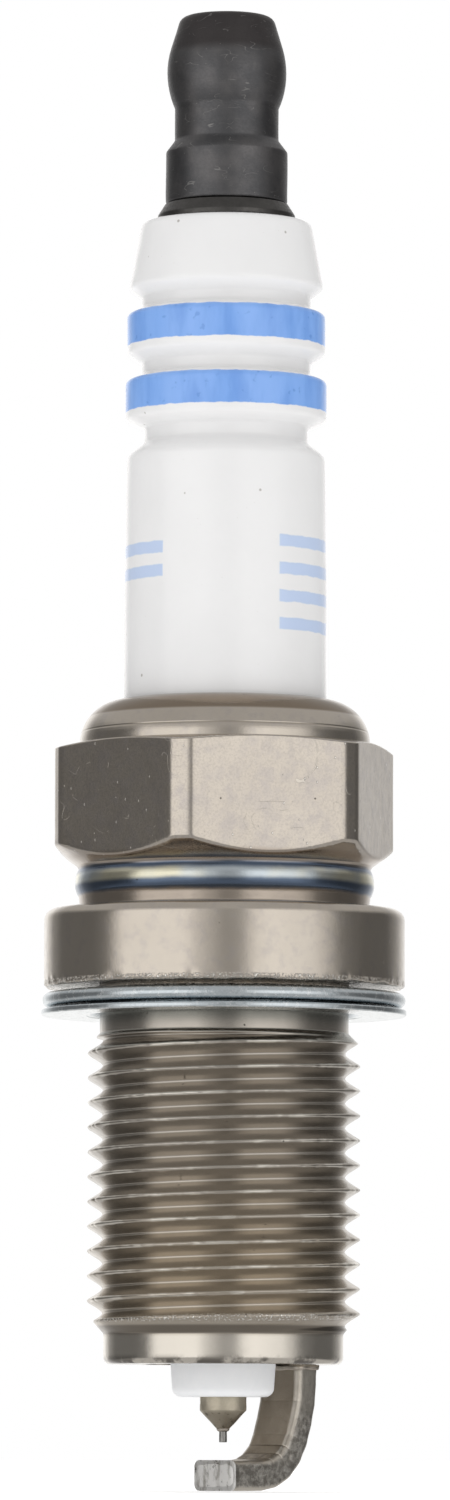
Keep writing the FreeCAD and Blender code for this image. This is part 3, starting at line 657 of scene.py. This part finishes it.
class Nodes:
    """Adds nodes to a cleared tree. Most methods return the socket with their result."""

    def __init__(self, tree):
        self.tree = tree
        tree.nodes.clear()

    def feed(self, value, socket):
        """Link a socket's value to an input, or set the input to a constant."""
        if isinstance(value, bpy.types.NodeSocket):
            self.tree.links.new(value, socket)
        else:
            socket.default_value = value

    def node(self, kind, **inputs):
        """Add a node and fill the inputs named, with _ for the space in a name."""
        node = self.tree.nodes.new("ShaderNode" + kind)
        for name, value in inputs.items():
            self.feed(value, node.inputs[name.replace("_", " ")])
        return node

    def math(self, operation, first, second=0.0, clamp=False):
        node = self.node("Math")
        node.operation = operation
        node.use_clamp = clamp
        self.feed(first, node.inputs[0])
        self.feed(second, node.inputs[1])
        return node.outputs[0]

    def times(self, first, second):
        return self.math("MULTIPLY", first, second)

    def vector(self, operation, first, second=(0, 0, 0)):
        """Vector arithmetic. Returns both outputs, the vector first."""
        node = self.node("VectorMath")
        node.operation = operation
        self.feed(first, node.inputs[0])
        self.feed(second, node.inputs[1])
        return node.outputs


class Paint(Nodes):
    """A procedural material. Lengths in its methods are mm on the plug."""

    def __init__(self, name, colour, roughness, metallic=0.0):
        self.material = bpy.data.materials.new(name)
        self.material.use_nodes = True
        super().__init__(self.material.node_tree)
        self.shader = self.node("BsdfPrincipled")
        self.node("OutputMaterial", Surface=self.shader.outputs[0])
        self.set("Base Color", (*colour, 1))
        self.set("Roughness", roughness)
        self.set("Metallic", metallic)
        self.material.diffuse_color = (*colour, 1)
        whole = self.node("TexCoord").outputs["Object"]
        place = self.node("VectorMath", Vector=whole)
        place.operation = "SCALE"
        place.inputs["Scale"].default_value = 1 / MM
        self.place = place.outputs[0]

    def set(self, name, value):
        self.feed(value, self.shader.inputs[name])

    def mix(self, share, first, second):
        node = self.node("Mix")
        node.data_type = "RGBA"
        self.feed(share, node.inputs[0])
        for colour, socket in ((first, node.inputs[6]), (second, node.inputs[7])):
            self.feed(colour if isinstance(colour, bpy.types.NodeSocket) else (*colour, 1), socket)
        return node.outputs[2]

    def tint(self, under, share, amount, over):
        """Lay one colour over another, by an amount times a share of 0 to 1."""
        return self.mix(self.times(share, amount), under, over)

    def layers(self, colour, layers):
        """Lay several colours over one, each given as (share, amount, colour)."""
        for share, amount, over in layers:
            colour = self.tint(colour, share, amount, over)
        return colour

    def ramp(self, value, low, high, to_low=0.0, to_high=1.0):
        """Smooth step of a value from one range to another."""
        node = self.node("MapRange", Value=value, From_Min=low, From_Max=high)
        self.feed(to_low, node.inputs["To Min"])
        self.feed(to_high, node.inputs["To Max"])
        node.interpolation_type = "SMOOTHSTEP"
        return node.outputs["Result"]

    def radius(self):
        """Distance from the plug's axis."""
        return self.vector("LENGTH", self.vector("MULTIPLY", self.place, (1, 1, 0))[0])["Value"]

    def facing(self, turn):
        """Distance from the plug's axis towards a turn."""
        towards = (math.cos(turn), math.sin(turn), 0)
        return self.vector("DOT_PRODUCT", self.place, towards)["Value"]

    def level(self):
        return self.node("SeparateXYZ", Vector=self.place).outputs["Z"]

    def band(self, low, high, soft, value=None):
        """1 between two levels, with ends that soften over a width."""
        value = self.level() if value is None else value
        rise = self.ramp(value, low - soft, low + soft)
        fall = self.ramp(value, high - soft, high + soft, 1.0, 0.0)
        return self.times(rise, fall)

    def stretched(self, stretch, shift):
        """The place, stretched along each axis and shifted so that two patterns never coincide."""
        place = self.vector("MULTIPLY", self.place, stretch)[0]
        return self.vector("ADD", place, (shift, shift * 0.7, shift * 1.3))[0]

    def noise(self, scale, detail=4.0, stretch=(1, 1, 1), shift=0.0, rough=0.55, warp=0.0):
        """Cloudy noise of 0 to 1, its scale in features per mm."""
        place = self.stretched(stretch, shift)
        node = self.node("TexNoise", Vector=place, Scale=scale, Detail=detail)
        self.feed(rough, node.inputs["Roughness"])
        self.feed(warp, node.inputs["Distortion"])
        return node.outputs["Fac"]

    def specks(self, scale, size, shift=0.0, stretch=(1, 1, 1)):
        """Scattered dots, 1 inside and 0 outside."""
        node = self.node("TexVoronoi", Vector=self.stretched(stretch, shift), Scale=scale)
        return self.ramp(node.outputs["Distance"], size * 0.55, size, 1.0, 0.0)

    def scratches(self, scale, width, shift, stretch=(1, 1, 1)):
        """Thin broken lines, along the contours of a cloudy noise."""
        lines = self.noise(scale, 1.0, stretch, shift, warp=0.6)
        near = self.math("ABSOLUTE", self.math("SUBTRACT", lines, 0.5))
        line = self.ramp(near, width * 0.4, width, 1.0, 0.0)
        gaps = self.ramp(self.noise(scale * 1.7, 2.0, shift=shift + 5), 0.52, 0.6)
        return self.times(line, gaps)

    def finish(self, relief=()):
        """Add the relief, given as heights of 0 to 1 with the mm each stands for, and hand over."""
        total = None
        for height, depth in relief:
            part = self.times(height, depth)
            total = part if total is None else self.math("ADD", total, part)
        if total is not None:
            bump = self.node("Bump", Height=total, Strength=1.0, Distance=MM)
            self.set("Normal", bump.outputs[0])
        return self.material


def black_oxide():
    """Blackened steel with a satin sheen, rubbed lighter in a few places, with painted shade on its
    crown.
    """
    paint = Paint("black_oxide_steel", (0.13, 0.128, 0.132), 0.34, metallic=1.0)
    cloud = paint.ramp(paint.noise(0.6, 5.0, shift=3.0), 0.3, 0.7)
    fine = paint.noise(7.0, 6.0, stretch=(1, 1, 2), shift=9.0)
    colour = paint.mix(cloud, (0.11, 0.11, 0.115), (0.165, 0.16, 0.162))
    colour = paint.mix(paint.ramp(fine, 0.62, 0.8), colour, (0.19, 0.185, 0.18))
    # Painted shade: the crown above the bulge is darkened to stand in for the shade on its
    # upward-facing slope.
    crown_painted_shade = paint.ramp(paint.level(), 48.9, 49.5)
    colour = paint.tint(colour, crown_painted_shade, 0.75, (0.06, 0.052, 0.052))
    specks = paint.specks(2.3, 0.05, shift=6.0)
    colour = paint.tint(colour, specks, 0.7, (0.42, 0.4, 0.38))
    rubs = paint.scratches(0.7, 0.008, 14.0, (1, 1, 2.5))
    colour = paint.tint(colour, rubs, 0.4, (0.4, 0.39, 0.38))
    paint.set("Base Color", colour)
    paint.set("Roughness", paint.ramp(fine, 0.3, 0.75, 0.36, 0.5))
    turning = paint.noise(2.0, 3.0, stretch=(0.2, 0.2, 6), shift=2.0)
    return paint.finish([(fine, 0.005), (turning, 0.006)])


def stud_steel():
    """The stud: blackened round its flange, bare and brighter along its thread."""
    paint = Paint("stud_steel", (0.3, 0.29, 0.28), 0.36, metallic=1.0)
    cloud = paint.noise(1.3, 5.0, shift=1.0)
    bare = paint.mix(cloud, (0.36, 0.34, 0.32), (0.52, 0.5, 0.47))
    dark = paint.mix(cloud, (0.07, 0.068, 0.066), (0.13, 0.125, 0.12))
    flange = paint.band(40.3, 41.5, 0.1)
    paint.set("Base Color", paint.mix(flange, bare, dark))
    fine = paint.noise(8.0, 4.0, shift=4.0)
    paint.set("Roughness", paint.ramp(fine, 0.3, 0.7, 0.28, 0.48))
    return paint.finish([(fine, 0.01)])


# Plain printed bars on the glaze: the turn of the middle, half the width in degrees, and two levels.
SIDE_BARS = [
    (-32, 26, 23.5, 24.1),
    (-32, 26, 22.1, 22.7),
    (-32, 26, 20.7, 21.3),
    (-32, 26, 19.3, 19.9),
    (205, 27, 23.2, 23.8),
    (205, 27, 22.0, 22.6),
]


def sector(paint, turn, half_width):
    """1 within some degrees of a turn about the axis."""
    share = paint.math("DIVIDE", paint.facing(math.radians(turn)), paint.radius())
    edge = math.cos(math.radians(half_width))
    return paint.ramp(share, edge - 0.004, edge + 0.004)


def glazed_alumina():
    """White glazed ceramic with two blue bands, plain blue bars at its sides and a bare nose."""
    paint = Paint("glazed_alumina", (0.8, 0.8, 0.805), 0.12)
    level = paint.level()
    cloud = paint.noise(0.35, 3.0, shift=6.0)
    white = paint.mix(cloud, (0.80, 0.80, 0.805), (0.855, 0.855, 0.86))
    speck = paint.specks(0.62, 0.06, shift=2.0)
    white = paint.tint(white, speck, 0.6, (0.25, 0.22, 0.18))
    faint = paint.specks(1.6, 0.05, shift=8.0)
    white = paint.tint(white, faint, 0.25, (0.5, 0.46, 0.42))

    ragged = paint.math("SUBTRACT", paint.noise(1.6, 3.0, shift=11.0), 0.5)
    wavy = paint.math("ADD", level, paint.times(ragged, 0.16))
    first = paint.band(34.1, 35.8, 0.03, wavy)
    second = paint.band(30.7, 32.38, 0.03, wavy)
    bands = paint.math("MAXIMUM", first, second)
    proud = paint.ramp(paint.radius(), 4.42, 4.62)
    bands = paint.times(bands, proud)
    streak = paint.noise(0.8, 4.0, stretch=(1, 1, 0.25), shift=4.0)
    blue = paint.mix(paint.ramp(streak, 0.35, 0.7), (0.235, 0.43, 0.86), (0.165, 0.34, 0.76))
    blot = paint.ramp(paint.noise(1.9, 2.0, shift=17.0), 0.64, 0.72)
    blue = paint.tint(blue, blot, 0.5, (0.1, 0.25, 0.62))
    colour = paint.mix(bands, white, blue)
    for turn, half_width, low, high in SIDE_BARS:
        bar = paint.times(paint.band(low, high, 0.04, wavy), sector(paint, turn, half_width))
        colour = paint.tint(colour, bar, 0.5, (0.24, 0.45, 0.86))

    bare = paint.ramp(level, -2.0, -1.0, 1.0, 0.0)
    chalk = paint.mix(paint.noise(2.5, 5.0, shift=5.0), (0.84, 0.855, 0.88), (0.92, 0.925, 0.935))
    colour = paint.mix(bare, colour, chalk)
    paint.set("Base Color", colour)
    grain = paint.noise(5.0, 5.0, shift=3.0)
    smooth = paint.ramp(grain, 0.3, 0.7, 0.08, 0.16)
    rough = paint.math("MAXIMUM", smooth, paint.times(bare, 0.5))
    paint.set("Roughness", rough)
    return paint.finish([(paint.noise(0.8, 2.0, shift=2.0), 0.02), (grain, 0.0015)])


def plate_colour(paint, cloud, mottle, grainy, stain):
    """Warm plate of the lip, hexagon and collar."""
    plate = paint.mix(cloud, (0.54, 0.485, 0.42), (0.63, 0.575, 0.505))
    layers = [
        (paint.ramp(mottle, 0.46, 0.7), 0.45, (0.5, 0.46, 0.435)),
        (grainy, 0.3, (0.36, 0.33, 0.31)),
        (stain, 0.35, (0.45, 0.415, 0.41)),
    ]
    return paint.layers(plate, layers)


def thread_colour(paint, cloud, worn, crest_nicks_and_highlight):
    """Greyer plate of the neck and thread, golden low down, bright on worn crests that also carry a
    painted highlight, with a painted highlight on the last crest and painted shade at the neck and in
    the corner above the pilot.
    """
    thread = paint.mix(cloud, (0.43, 0.395, 0.35), (0.51, 0.47, 0.42))
    level = paint.level()
    # Painted shade: a darker band in the corner where the thread runs out above the pilot.
    corner = paint.band(-16.1, -15.66, 0.08)
    pilot = paint.ramp(level, -16.3, -16.0, 1.0, 0.0)
    shaded = paint.ramp(level, -0.85, -0.1)
    layers = [
        (paint.ramp(level, -13.5, -6.0, 1.0, 0.0), 0.5, (0.56, 0.49, 0.395)),
        # Worn crests painted bright: partly wear, partly a painted highlight.
        (worn, 0.6, (0.86, 0.82, 0.74)),
        (corner, 0.75, (0.13, 0.11, 0.09)),
        # Painted highlight on the nicked last crest.
        (crest_nicks_and_highlight, 0.9, (0.92, 0.89, 0.83)),
        (pilot, 1.0, (0.7, 0.655, 0.585)),
        (shaded, 0.85, (0.19, 0.19, 0.17)),
    ]
    return paint.layers(thread, layers)


def heat_colours(paint, cloud):
    """Layers of colour on the swaged bead: brown beside it, then blue with a straw band that is also
    a painted highlight.
    """
    waver = paint.times(paint.math("SUBTRACT", cloud, 0.5), 0.3)
    waver = paint.math("ADD", paint.level(), waver)
    tint = paint.ramp(paint.noise(0.22, 2.0, shift=22.0), 0.4, 0.6)
    # Pale straw that is both temper colour and a painted highlight along the bead's middle.
    straw_and_highlight = paint.mix(tint, (0.62, 0.68, 0.72), (0.82, 0.78, 0.6))
    return [
        (paint.band(5.4, 8.0, 0.15, waver), 0.6, (0.33, 0.27, 0.22)),
        (paint.band(6.05, 7.42, 0.12, waver), 0.96, (0.1, 0.14, 0.21)),
        (paint.band(6.6, 7.12, 0.14, waver), 0.9, straw_and_highlight),
    ]


def nickel_plate():
    """Nickel-plated steel: bright on the hexagon and collar, blued on the bead, greyer below."""
    paint = Paint("nickel_plated_steel", (0.56, 0.51, 0.45), 0.2, metallic=1.0)
    level = paint.level()
    cloud = paint.noise(0.3, 4.0, shift=7.0)
    mottle = paint.noise(1.6, 6.0, shift=12.0, rough=0.6)
    fine = paint.noise(9.0, 5.0, shift=5.0)
    turning = paint.noise(1.0, 3.0, stretch=(0.25, 0.25, 14), shift=8.0)
    flats = paint.band(7.9, 13.6, 0.2)
    grainy = paint.times(flats, paint.ramp(fine, 0.42, 0.66))
    stain = paint.ramp(paint.noise(1.1, 7.0, shift=31.0, rough=0.62), 0.44, 0.68)
    stain = paint.times(flats, stain)
    # Bright patches on the thread's crests: worn metal, and also a painted highlight where the crests
    # catch the light.
    patches = paint.ramp(paint.noise(0.5, 3.0, stretch=(1, 1, 2), shift=27.0), 0.48, 0.6)
    worn = paint.times(paint.ramp(paint.radius(), 6.74, 6.84), patches)
    # The last crest above the pilot: nicked in the relief, and painted brighter in colour as a
    # painted highlight.
    crest_nicks_and_highlight = paint.times(paint.band(-15.6, -15.1, 0.06), paint.ramp(fine, 0.5, 0.6))
    crest_nicks_and_highlight = paint.times(crest_nicks_and_highlight, paint.ramp(paint.radius(), 6.5, 6.62))
    # A thin dark line with a small dent in the relief: the dark colour is painted shade in the
    # groove.
    groove = paint.band(14.33, 14.41, 0.03)
    marks = paint.times(flats, paint.scratches(0.4, 0.005, 19.0))
    nicks = paint.times(flats, paint.specks(2.0, 0.09, shift=15.0, stretch=(1, 1, 0.6)))
    pits = paint.specks(0.9, 0.05, shift=4.0)
    # The collar's battered lower rim: raised in the relief, and painted bright as a painted highlight
    # along the rim.
    battered_rim_and_highlight = paint.times(paint.band(1.2, 1.7, 0.06), paint.ramp(fine, 0.48, 0.62))
    soot = paint.ramp(paint.noise(0.8, 5.0, shift=37.0), 0.44, 0.56)
    soot = paint.times(soot, paint.ramp(level, -17.5, -17.05, 1.0, 0.0))

    plate = plate_colour(paint, cloud, mottle, grainy, stain)
    thread = thread_colour(paint, cloud, worn, crest_nicks_and_highlight)
    colour = paint.mix(paint.ramp(level, 0.4, 1.2, 1.0, 0.0), plate, thread)
    layers = [
        # Dark brown on the lip's top: its heat tint, and painted shade of its upward-facing curl.
        (paint.ramp(level, 15.08, 15.22), 0.82, (0.22, 0.165, 0.115)),
        (groove, 0.3, (0.3, 0.25, 0.2)),
        *heat_colours(paint, cloud),
        (marks, 0.3, (0.8, 0.76, 0.68)),
        (nicks, 0.8, (0.9, 0.87, 0.82)),
        (pits, 0.8, (0.07, 0.06, 0.05)),
        (battered_rim_and_highlight, 0.85, (0.86, 0.83, 0.77)),
        (soot, 0.8, (0.06, 0.05, 0.045)),
    ]
    paint.set("Base Color", paint.layers(colour, layers))

    satin = paint.ramp(mottle, 0.3, 0.75, 0.13, 0.21)
    dull = paint.math("SUBTRACT", paint.band(-16.1, 0.6, 0.2), worn, clamp=True)
    paint.set("Roughness", paint.math("ADD", satin, paint.times(dull, 0.06)))
    relief = [
        (mottle, 0.005), (fine, 0.0015), (stain, 0.002), (groove, -0.012), (battered_rim_and_highlight, 0.03),
        (crest_nicks_and_highlight, 0.02), (turning, 0.0025), (pits, -0.02), (nicks, -0.02), (marks, -0.006),
    ]
    return paint.finish(relief)


def zinc_plate():
    """Bright bluish zinc with a fine spangle, its flat underside painted brighter as a painted sheen.
    """
    paint = Paint("zinc_plated_steel", (0.6, 0.65, 0.68), 0.26, metallic=1.0)
    spangle = paint.noise(2.6, 6.0, shift=2.0, rough=0.7)
    cloud = paint.noise(0.5, 3.0, shift=9.0)
    colour = paint.mix(cloud, (0.52, 0.58, 0.62), (0.68, 0.72, 0.74))
    colour = paint.mix(paint.ramp(spangle, 0.5, 0.66), colour, (0.78, 0.82, 0.84))
    dull = paint.ramp(paint.noise(4.5, 5.0, shift=14.0), 0.56, 0.7)
    colour = paint.tint(colour, dull, 0.35, (0.36, 0.4, 0.43))
    # Painted sheen: the flat underside is painted bright, standing in for the light it catches from
    # below.
    underside_painted_sheen = paint.ramp(paint.level(), 0.02, 0.1, 1.0, 0.0)
    bright = paint.mix(paint.ramp(spangle, 0.42, 0.58), (0.66, 0.7, 0.71), (0.9, 0.92, 0.92))
    colour = paint.tint(colour, underside_painted_sheen, 0.85, bright)
    paint.set("Base Color", colour)
    paint.set("Roughness", paint.ramp(spangle, 0.3, 0.7, 0.15, 0.3))
    return paint.finish([(spangle, 0.005), (paint.noise(9.0, 4.0, shift=1.0), 0.003)])


def electrode_nickel():
    """Nickel alloy of the centre electrode, olive brown and darkly mottled."""
    paint = Paint("electrode_nickel", (0.36, 0.32, 0.25), 0.34, metallic=1.0)
    cloud = paint.noise(1.6, 4.0, shift=3.0)
    blot = paint.ramp(paint.noise(3.4, 4.0, shift=7.0), 0.55, 0.68)
    colour = paint.mix(cloud, (0.52, 0.47, 0.37), (0.66, 0.6, 0.49))
    cone = paint.ramp(paint.level(), -20.1, -19.85, 1.0, 0.0)
    colour = paint.tint(colour, cone, 0.5, (0.26, 0.22, 0.17))
    colour = paint.mix(paint.times(blot, paint.times(cone, 0.75)), colour, (0.1, 0.085, 0.065))
    paint.set("Base Color", colour)
    fine = paint.noise(14.0, 4.0, shift=2.0)
    paint.set("Roughness", paint.ramp(fine, 0.3, 0.7, 0.42, 0.58))
    return paint.finish([(fine, 0.006), (paint.noise(2.0, 2.0, stretch=(0.3, 0.3, 9)), 0.006)])


def strap_nickel():
    """Nickel alloy of the ground electrode: brown in its bend, grainy sides with a painted highlight
    along their edges, and a sheared end.
    """
    paint = Paint("strap_nickel", (0.5, 0.45, 0.38), 0.4, metallic=1.0)
    level = paint.level()
    cloud = paint.noise(0.7, 5.0, shift=5.0, rough=0.6)
    grain = paint.noise(3.2, 7.0, shift=13.0, rough=0.75)
    fine = paint.noise(10.0, 5.0, shift=1.0)
    streaks = paint.noise(2.4, 5.0, stretch=(1, 1, 0.3), shift=3.0, rough=0.65)
    blot = paint.ramp(paint.noise(0.9, 4.0, shift=9.0), 0.5, 0.64)
    blot = paint.times(blot, paint.ramp(level, -22.3, -21.5, 1.0, 0.1))
    worn = paint.math("ADD", level, paint.times(cloud, 1.5))
    worn = paint.ramp(worn, -19.9, -18.6, 1.0, 0.12)
    aside = paint.math("ABSOLUTE", paint.facing(STRAP_TURN + math.pi / 2))
    on_side = paint.ramp(aside, 1.3, 1.38)
    # Painted highlight along the strap's rounded side edges.
    edge = paint.band(1.08, 1.34, 0.05, aside)
    sheared = paint.ramp(paint.facing(STRAP_TURN), -0.56, -0.48, 1.0, 0.0)

    brown = paint.mix(cloud, (0.34, 0.285, 0.22), (0.52, 0.46, 0.38))
    brown = paint.tint(brown, blot, 0.6, (0.14, 0.11, 0.08))
    grey = paint.mix(paint.ramp(grain, 0.42, 0.58), (0.3, 0.28, 0.25), (0.62, 0.59, 0.54))
    grey = paint.mix(paint.ramp(grain, 0.6, 0.7), grey, (0.92, 0.9, 0.86))
    grey = paint.mix(worn, (0.56, 0.525, 0.465), grey)
    pale = paint.mix(paint.ramp(streaks, 0.36, 0.56), (0.55, 0.53, 0.5), (0.95, 0.94, 0.92))
    pale = paint.tint(pale, paint.ramp(grain, 0.36, 0.42, 1.0, 0.0), 0.8, (0.15, 0.13, 0.11))
    colour = paint.mix(on_side, brown, grey)
    colour = paint.tint(colour, edge, 0.7, (0.84, 0.79, 0.71))
    paint.set("Base Color", paint.mix(sheared, colour, pale))
    satin = paint.ramp(fine, 0.3, 0.7, 0.3, 0.48)
    paint.set("Roughness", paint.math("ADD", satin, paint.times(sheared, 0.2)))
    grit = paint.times(grain, paint.times(on_side, worn))
    sheared_streaks = paint.times(streaks, sheared)
    return paint.finish([(fine, 0.006), (cloud, 0.02), (grit, 0.03), (sheared_streaks, 0.01)])


def mottled(name, dark, light, roughness, metallic=0.0, scale=2.0, relief=0.01):
    """A plain two-toned grainy material, for the pieces inside and the small welds."""
    paint = Paint(name, light, roughness, metallic)
    grain = paint.noise(scale, 5.0, shift=scale)
    paint.set("Base Color", paint.mix(grain, dark, light))
    paint.set("Roughness", paint.ramp(grain, 0.3, 0.7, roughness * 0.8, min(1.0, roughness * 1.2)))
    return paint.finish([(grain, relief)])


def all_materials():
    """The materials, under the names of the record's slots."""
    return {
        "black_oxide_steel": black_oxide(),
        "stud_steel": stud_steel(),
        "glazed_alumina": glazed_alumina(),
        "seal_glass": mottled("seal_glass", (0.02, 0.02, 0.022), (0.09, 0.07, 0.06), 0.25),
        "resistor_carbon": mottled("resistor_carbon", (0.012, 0.012, 0.012), (0.05, 0.05, 0.05), 0.7),
        "electrode_nickel": electrode_nickel(),
        "core_copper": mottled("core_copper", (0.6, 0.26, 0.13), (0.8, 0.42, 0.26), 0.3, 1.0),
        "weld_metal": mottled("weld_metal", (0.34, 0.29, 0.24), (0.78, 0.72, 0.64), 0.35, 1.0, 4.0),
        "iridium": mottled("iridium", (0.2, 0.195, 0.18), (0.4, 0.39, 0.375), 0.3, 1.0, 9.0, 0.004),
        "nickel_plated_steel": nickel_plate(),
        "packing_steel": mottled("packing_steel", (0.3, 0.29, 0.28), (0.5, 0.49, 0.47), 0.38, 1.0),
        "packed_talc": mottled("packed_talc", (0.55, 0.54, 0.5), (0.75, 0.74, 0.7), 0.9),
        "zinc_plated_steel": zinc_plate(),
        "strap_nickel": strap_nickel(),
    }


# ---- the object


MADE_PIECES = {
    "terminal_nut": (make_terminal_nut, "black_oxide_steel", "terminal_nut"),
    "insulator": (make_insulator, "glazed_alumina", "plug_body"),
    "centre_electrode": (make_centre_electrode, "electrode_nickel", "plug_body"),
    "tip_weld": (make_tip_weld, "weld_metal", "plug_body"),
    "iridium_tip": (make_iridium_tip, "iridium", "plug_body"),
    "shell": (make_shell, "nickel_plated_steel", "plug_body"),
    "gasket": (make_gasket, "zinc_plated_steel", "gasket"),
    "ground_electrode": (make_ground_electrode, "strap_nickel", "plug_body"),
    "ground_electrode_weld": (make_ground_electrode_weld, "weld_metal", "plug_body"),
}

KEPT_NODES = {
    "terminal_stud": "stud_steel",
    "upper_glass_seal": "seal_glass",
    "resistor": "resistor_carbon",
    "lower_glass_seal": "seal_glass",
    "electrode_copper_core": "core_copper",
    "lower_packing_ring": "packing_steel",
    "upper_packing_ring": "packing_steel",
    "talc_filling": "packed_talc",
    "seat_washer": "zinc_plated_steel",
}


def build_object(frame):
    materials = all_materials()
    for node, (make, slot, body) in MADE_PIECES.items():
        piece = make()
        piece.data.materials.append(materials[slot])
        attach(piece, body)
        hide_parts(node)
    for node, slot in KEPT_NODES.items():
        thing = frame["nodes"][node]
        for holder in thing.material_slots:
            holder.material = materials[slot]


# ---- studio

CAMERA_DISTANCE = 433.0
CAMERA_LEVEL = -22.0
AIM_LEVEL = 13.53
LENS = 205.4
ROLL = math.radians(0.17)
FLOOR_LEVEL = -24.0

# Brightness near eye level, by degrees from the camera's side, positive to its right.
ROUND_STUDIO = [
    (-180, 1.0), (-158, 0.95), (-142, 0.3), (-128, 0.14), (-92, 0.14), (-80, 0.2), (-68, 0.95),
    (-26, 1.0), (-15, 0.65), (0, 0.34), (10, 0.38), (20, 0.9), (30, 1.0), (58, 0.85),
    (70, 0.55), (80, 0.2), (100, 0.12), (128, 0.12), (144, 0.32), (160, 0.74), (180, 1.0),
]
# Share of that brightness by degrees above the horizon; the rest is the even ceiling and floor.
UP_STUDIO = [(-90, 0), (-26, 0), (-14, 1), (15, 1), (28, 0), (90, 0)]
CEILING = 0.44
STUDIO_STRENGTH = 1.2
ROOM_COLOUR = (1.0, 0.99, 0.978, 1)
OVERHEAD_STRENGTH = 1.12
OVERHEAD_SPREAD = math.radians(80)
# Lamps round the plug: degrees from the camera's side, degrees up, and watts.
FILL_LAMPS = [(-40, 10, 0.12), (40, 10, 0.12), (180, 15, 0.2), (-115, 15, 0.16), (115, 15, 0.13)]
FILL_DISTANCE, FILL_SIZE = 0.6, 0.45  # metres
FLOOR_HALF_SIZE = 1.5  # metres
FLOOR_GLOW = 0.35


def brightness_ramp(nodes, value, stops, span):
    """A ramp node over -span to span degrees."""
    ramp = nodes.node("ValToRGB", Fac=value)
    elements = ramp.color_ramp.elements
    while len(elements) < len(stops):
        elements.new(0.5)
    for element, (degrees, bright) in zip(elements, stops):
        element.position = (degrees + span) / (2 * span)
        element.color = (bright, bright, bright, 1)
    return ramp.outputs[0]


def make_world():
    """A white room with a tall softbox to each side of the camera, dark between."""
    world = bpy.data.worlds.new("studio")
    bpy.context.scene.world = world
    world.use_nodes = True
    nodes = Nodes(world.node_tree)
    whole = nodes.node("TexCoord").outputs["Generated"]
    parts = nodes.node("SeparateXYZ", Vector=whole).outputs
    bearing = nodes.math("ARCTAN2", parts[0], nodes.times(parts[1], -1.0))
    bearing = nodes.math("ADD", nodes.times(bearing, 1 / FULL_TURN), 0.5)
    height = nodes.math("ARCSINE", parts[2])
    height = nodes.math("ADD", nodes.times(height, 1 / math.pi), 0.5)
    around = brightness_ramp(nodes, bearing, ROUND_STUDIO, 180)
    upward = brightness_ramp(nodes, height, UP_STUDIO, 90)
    above = nodes.times(nodes.math("SUBTRACT", 1.0, upward), CEILING)
    strength = nodes.math("ADD", nodes.times(around, upward), above)
    strength = nodes.times(strength, STUDIO_STRENGTH)
    room = nodes.node("Background", Color=ROOM_COLOUR, Strength=strength)
    paper = nodes.node("Background", Color=(1, 1, 1, 1))
    choose = nodes.node("MixShader", Fac=nodes.node("LightPath").outputs["Is Camera Ray"])
    nodes.feed(room.outputs[0], choose.inputs[1])
    nodes.feed(paper.outputs[0], choose.inputs[2])
    nodes.node("OutputWorld", Surface=choose.outputs[0])


def make_fill_lights():
    """Soft lamps that light matt surfaces and don't show in polished ones."""
    sky = bpy.data.lights.new("overhead", "SUN")
    sky.energy = OVERHEAD_STRENGTH
    sky.angle = OVERHEAD_SPREAD
    put_in_scene("overhead", sky).visible_glossy = False
    for number, (degrees, lift, power) in enumerate(FILL_LAMPS):
        data = bpy.data.lights.new(f"fill_{number}", "AREA")
        data.shape = "DISK"
        data.size = FILL_SIZE
        data.energy = power
        lamp = put_in_scene(f"fill_{number}", data)
        bearing, rise = math.radians(degrees), math.radians(lift)
        level_share = math.cos(rise)
        away = (math.sin(bearing) * level_share, -math.cos(bearing) * level_share, math.sin(rise))
        away = Vector(away)
        lamp.location = away * FILL_DISTANCE
        lamp.rotation_mode = "QUATERNION"
        lamp.rotation_quaternion = away.to_track_quat("Z", "Y")
        lamp.visible_glossy = False
        lamp.visible_camera = False


def make_floor():
    """A pale paper floor just under the ground electrode."""
    size = FLOOR_HALF_SIZE
    level = FLOOR_LEVEL * MM
    mesh = bpy.data.meshes.new("floor")
    corners = [(-size, -size, level), (size, -size, level), (size, size, level), (-size, size, level)]
    mesh.from_pydata(corners, [], [(0, 1, 2, 3)])
    floor = put_in_scene("floor", mesh)
    paint = Paint("paper", (0.93, 0.93, 0.93), 0.9)
    grain = paint.noise(0.4, 3.0)
    paint.set("Base Color", paint.mix(grain, (0.92, 0.92, 0.92), (0.95, 0.95, 0.95)))
    paint.set("Emission Color", (1, 1, 1, 1))
    paint.set("Emission Strength", FLOOR_GLOW)
    mesh.materials.append(paint.finish())
    floor.visible_glossy = False


def make_camera():
    data = bpy.data.cameras.new("camera")
    data.lens = LENS
    data.sensor_width = 36.0
    data.clip_start = 0.01
    data.clip_end = 10.0
    camera = put_in_scene("camera", data)
    camera.location = (0, -CAMERA_DISTANCE * MM, CAMERA_LEVEL * MM)
    aim = Vector((0, 0, AIM_LEVEL * MM)) - camera.location
    facing = aim.to_track_quat("-Z", "Y")
    camera.rotation_mode = "QUATERNION"
    camera.rotation_quaternion = facing @ Matrix.Rotation(ROLL, 3, "Z").to_quaternion()
    bpy.context.scene.camera = camera


def main():
    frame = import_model()
    build_object(frame)
    make_world()
    make_fill_lights()
    make_floor()
    make_camera()
    bpy.context.scene.view_settings.view_transform = "Standard"


main()
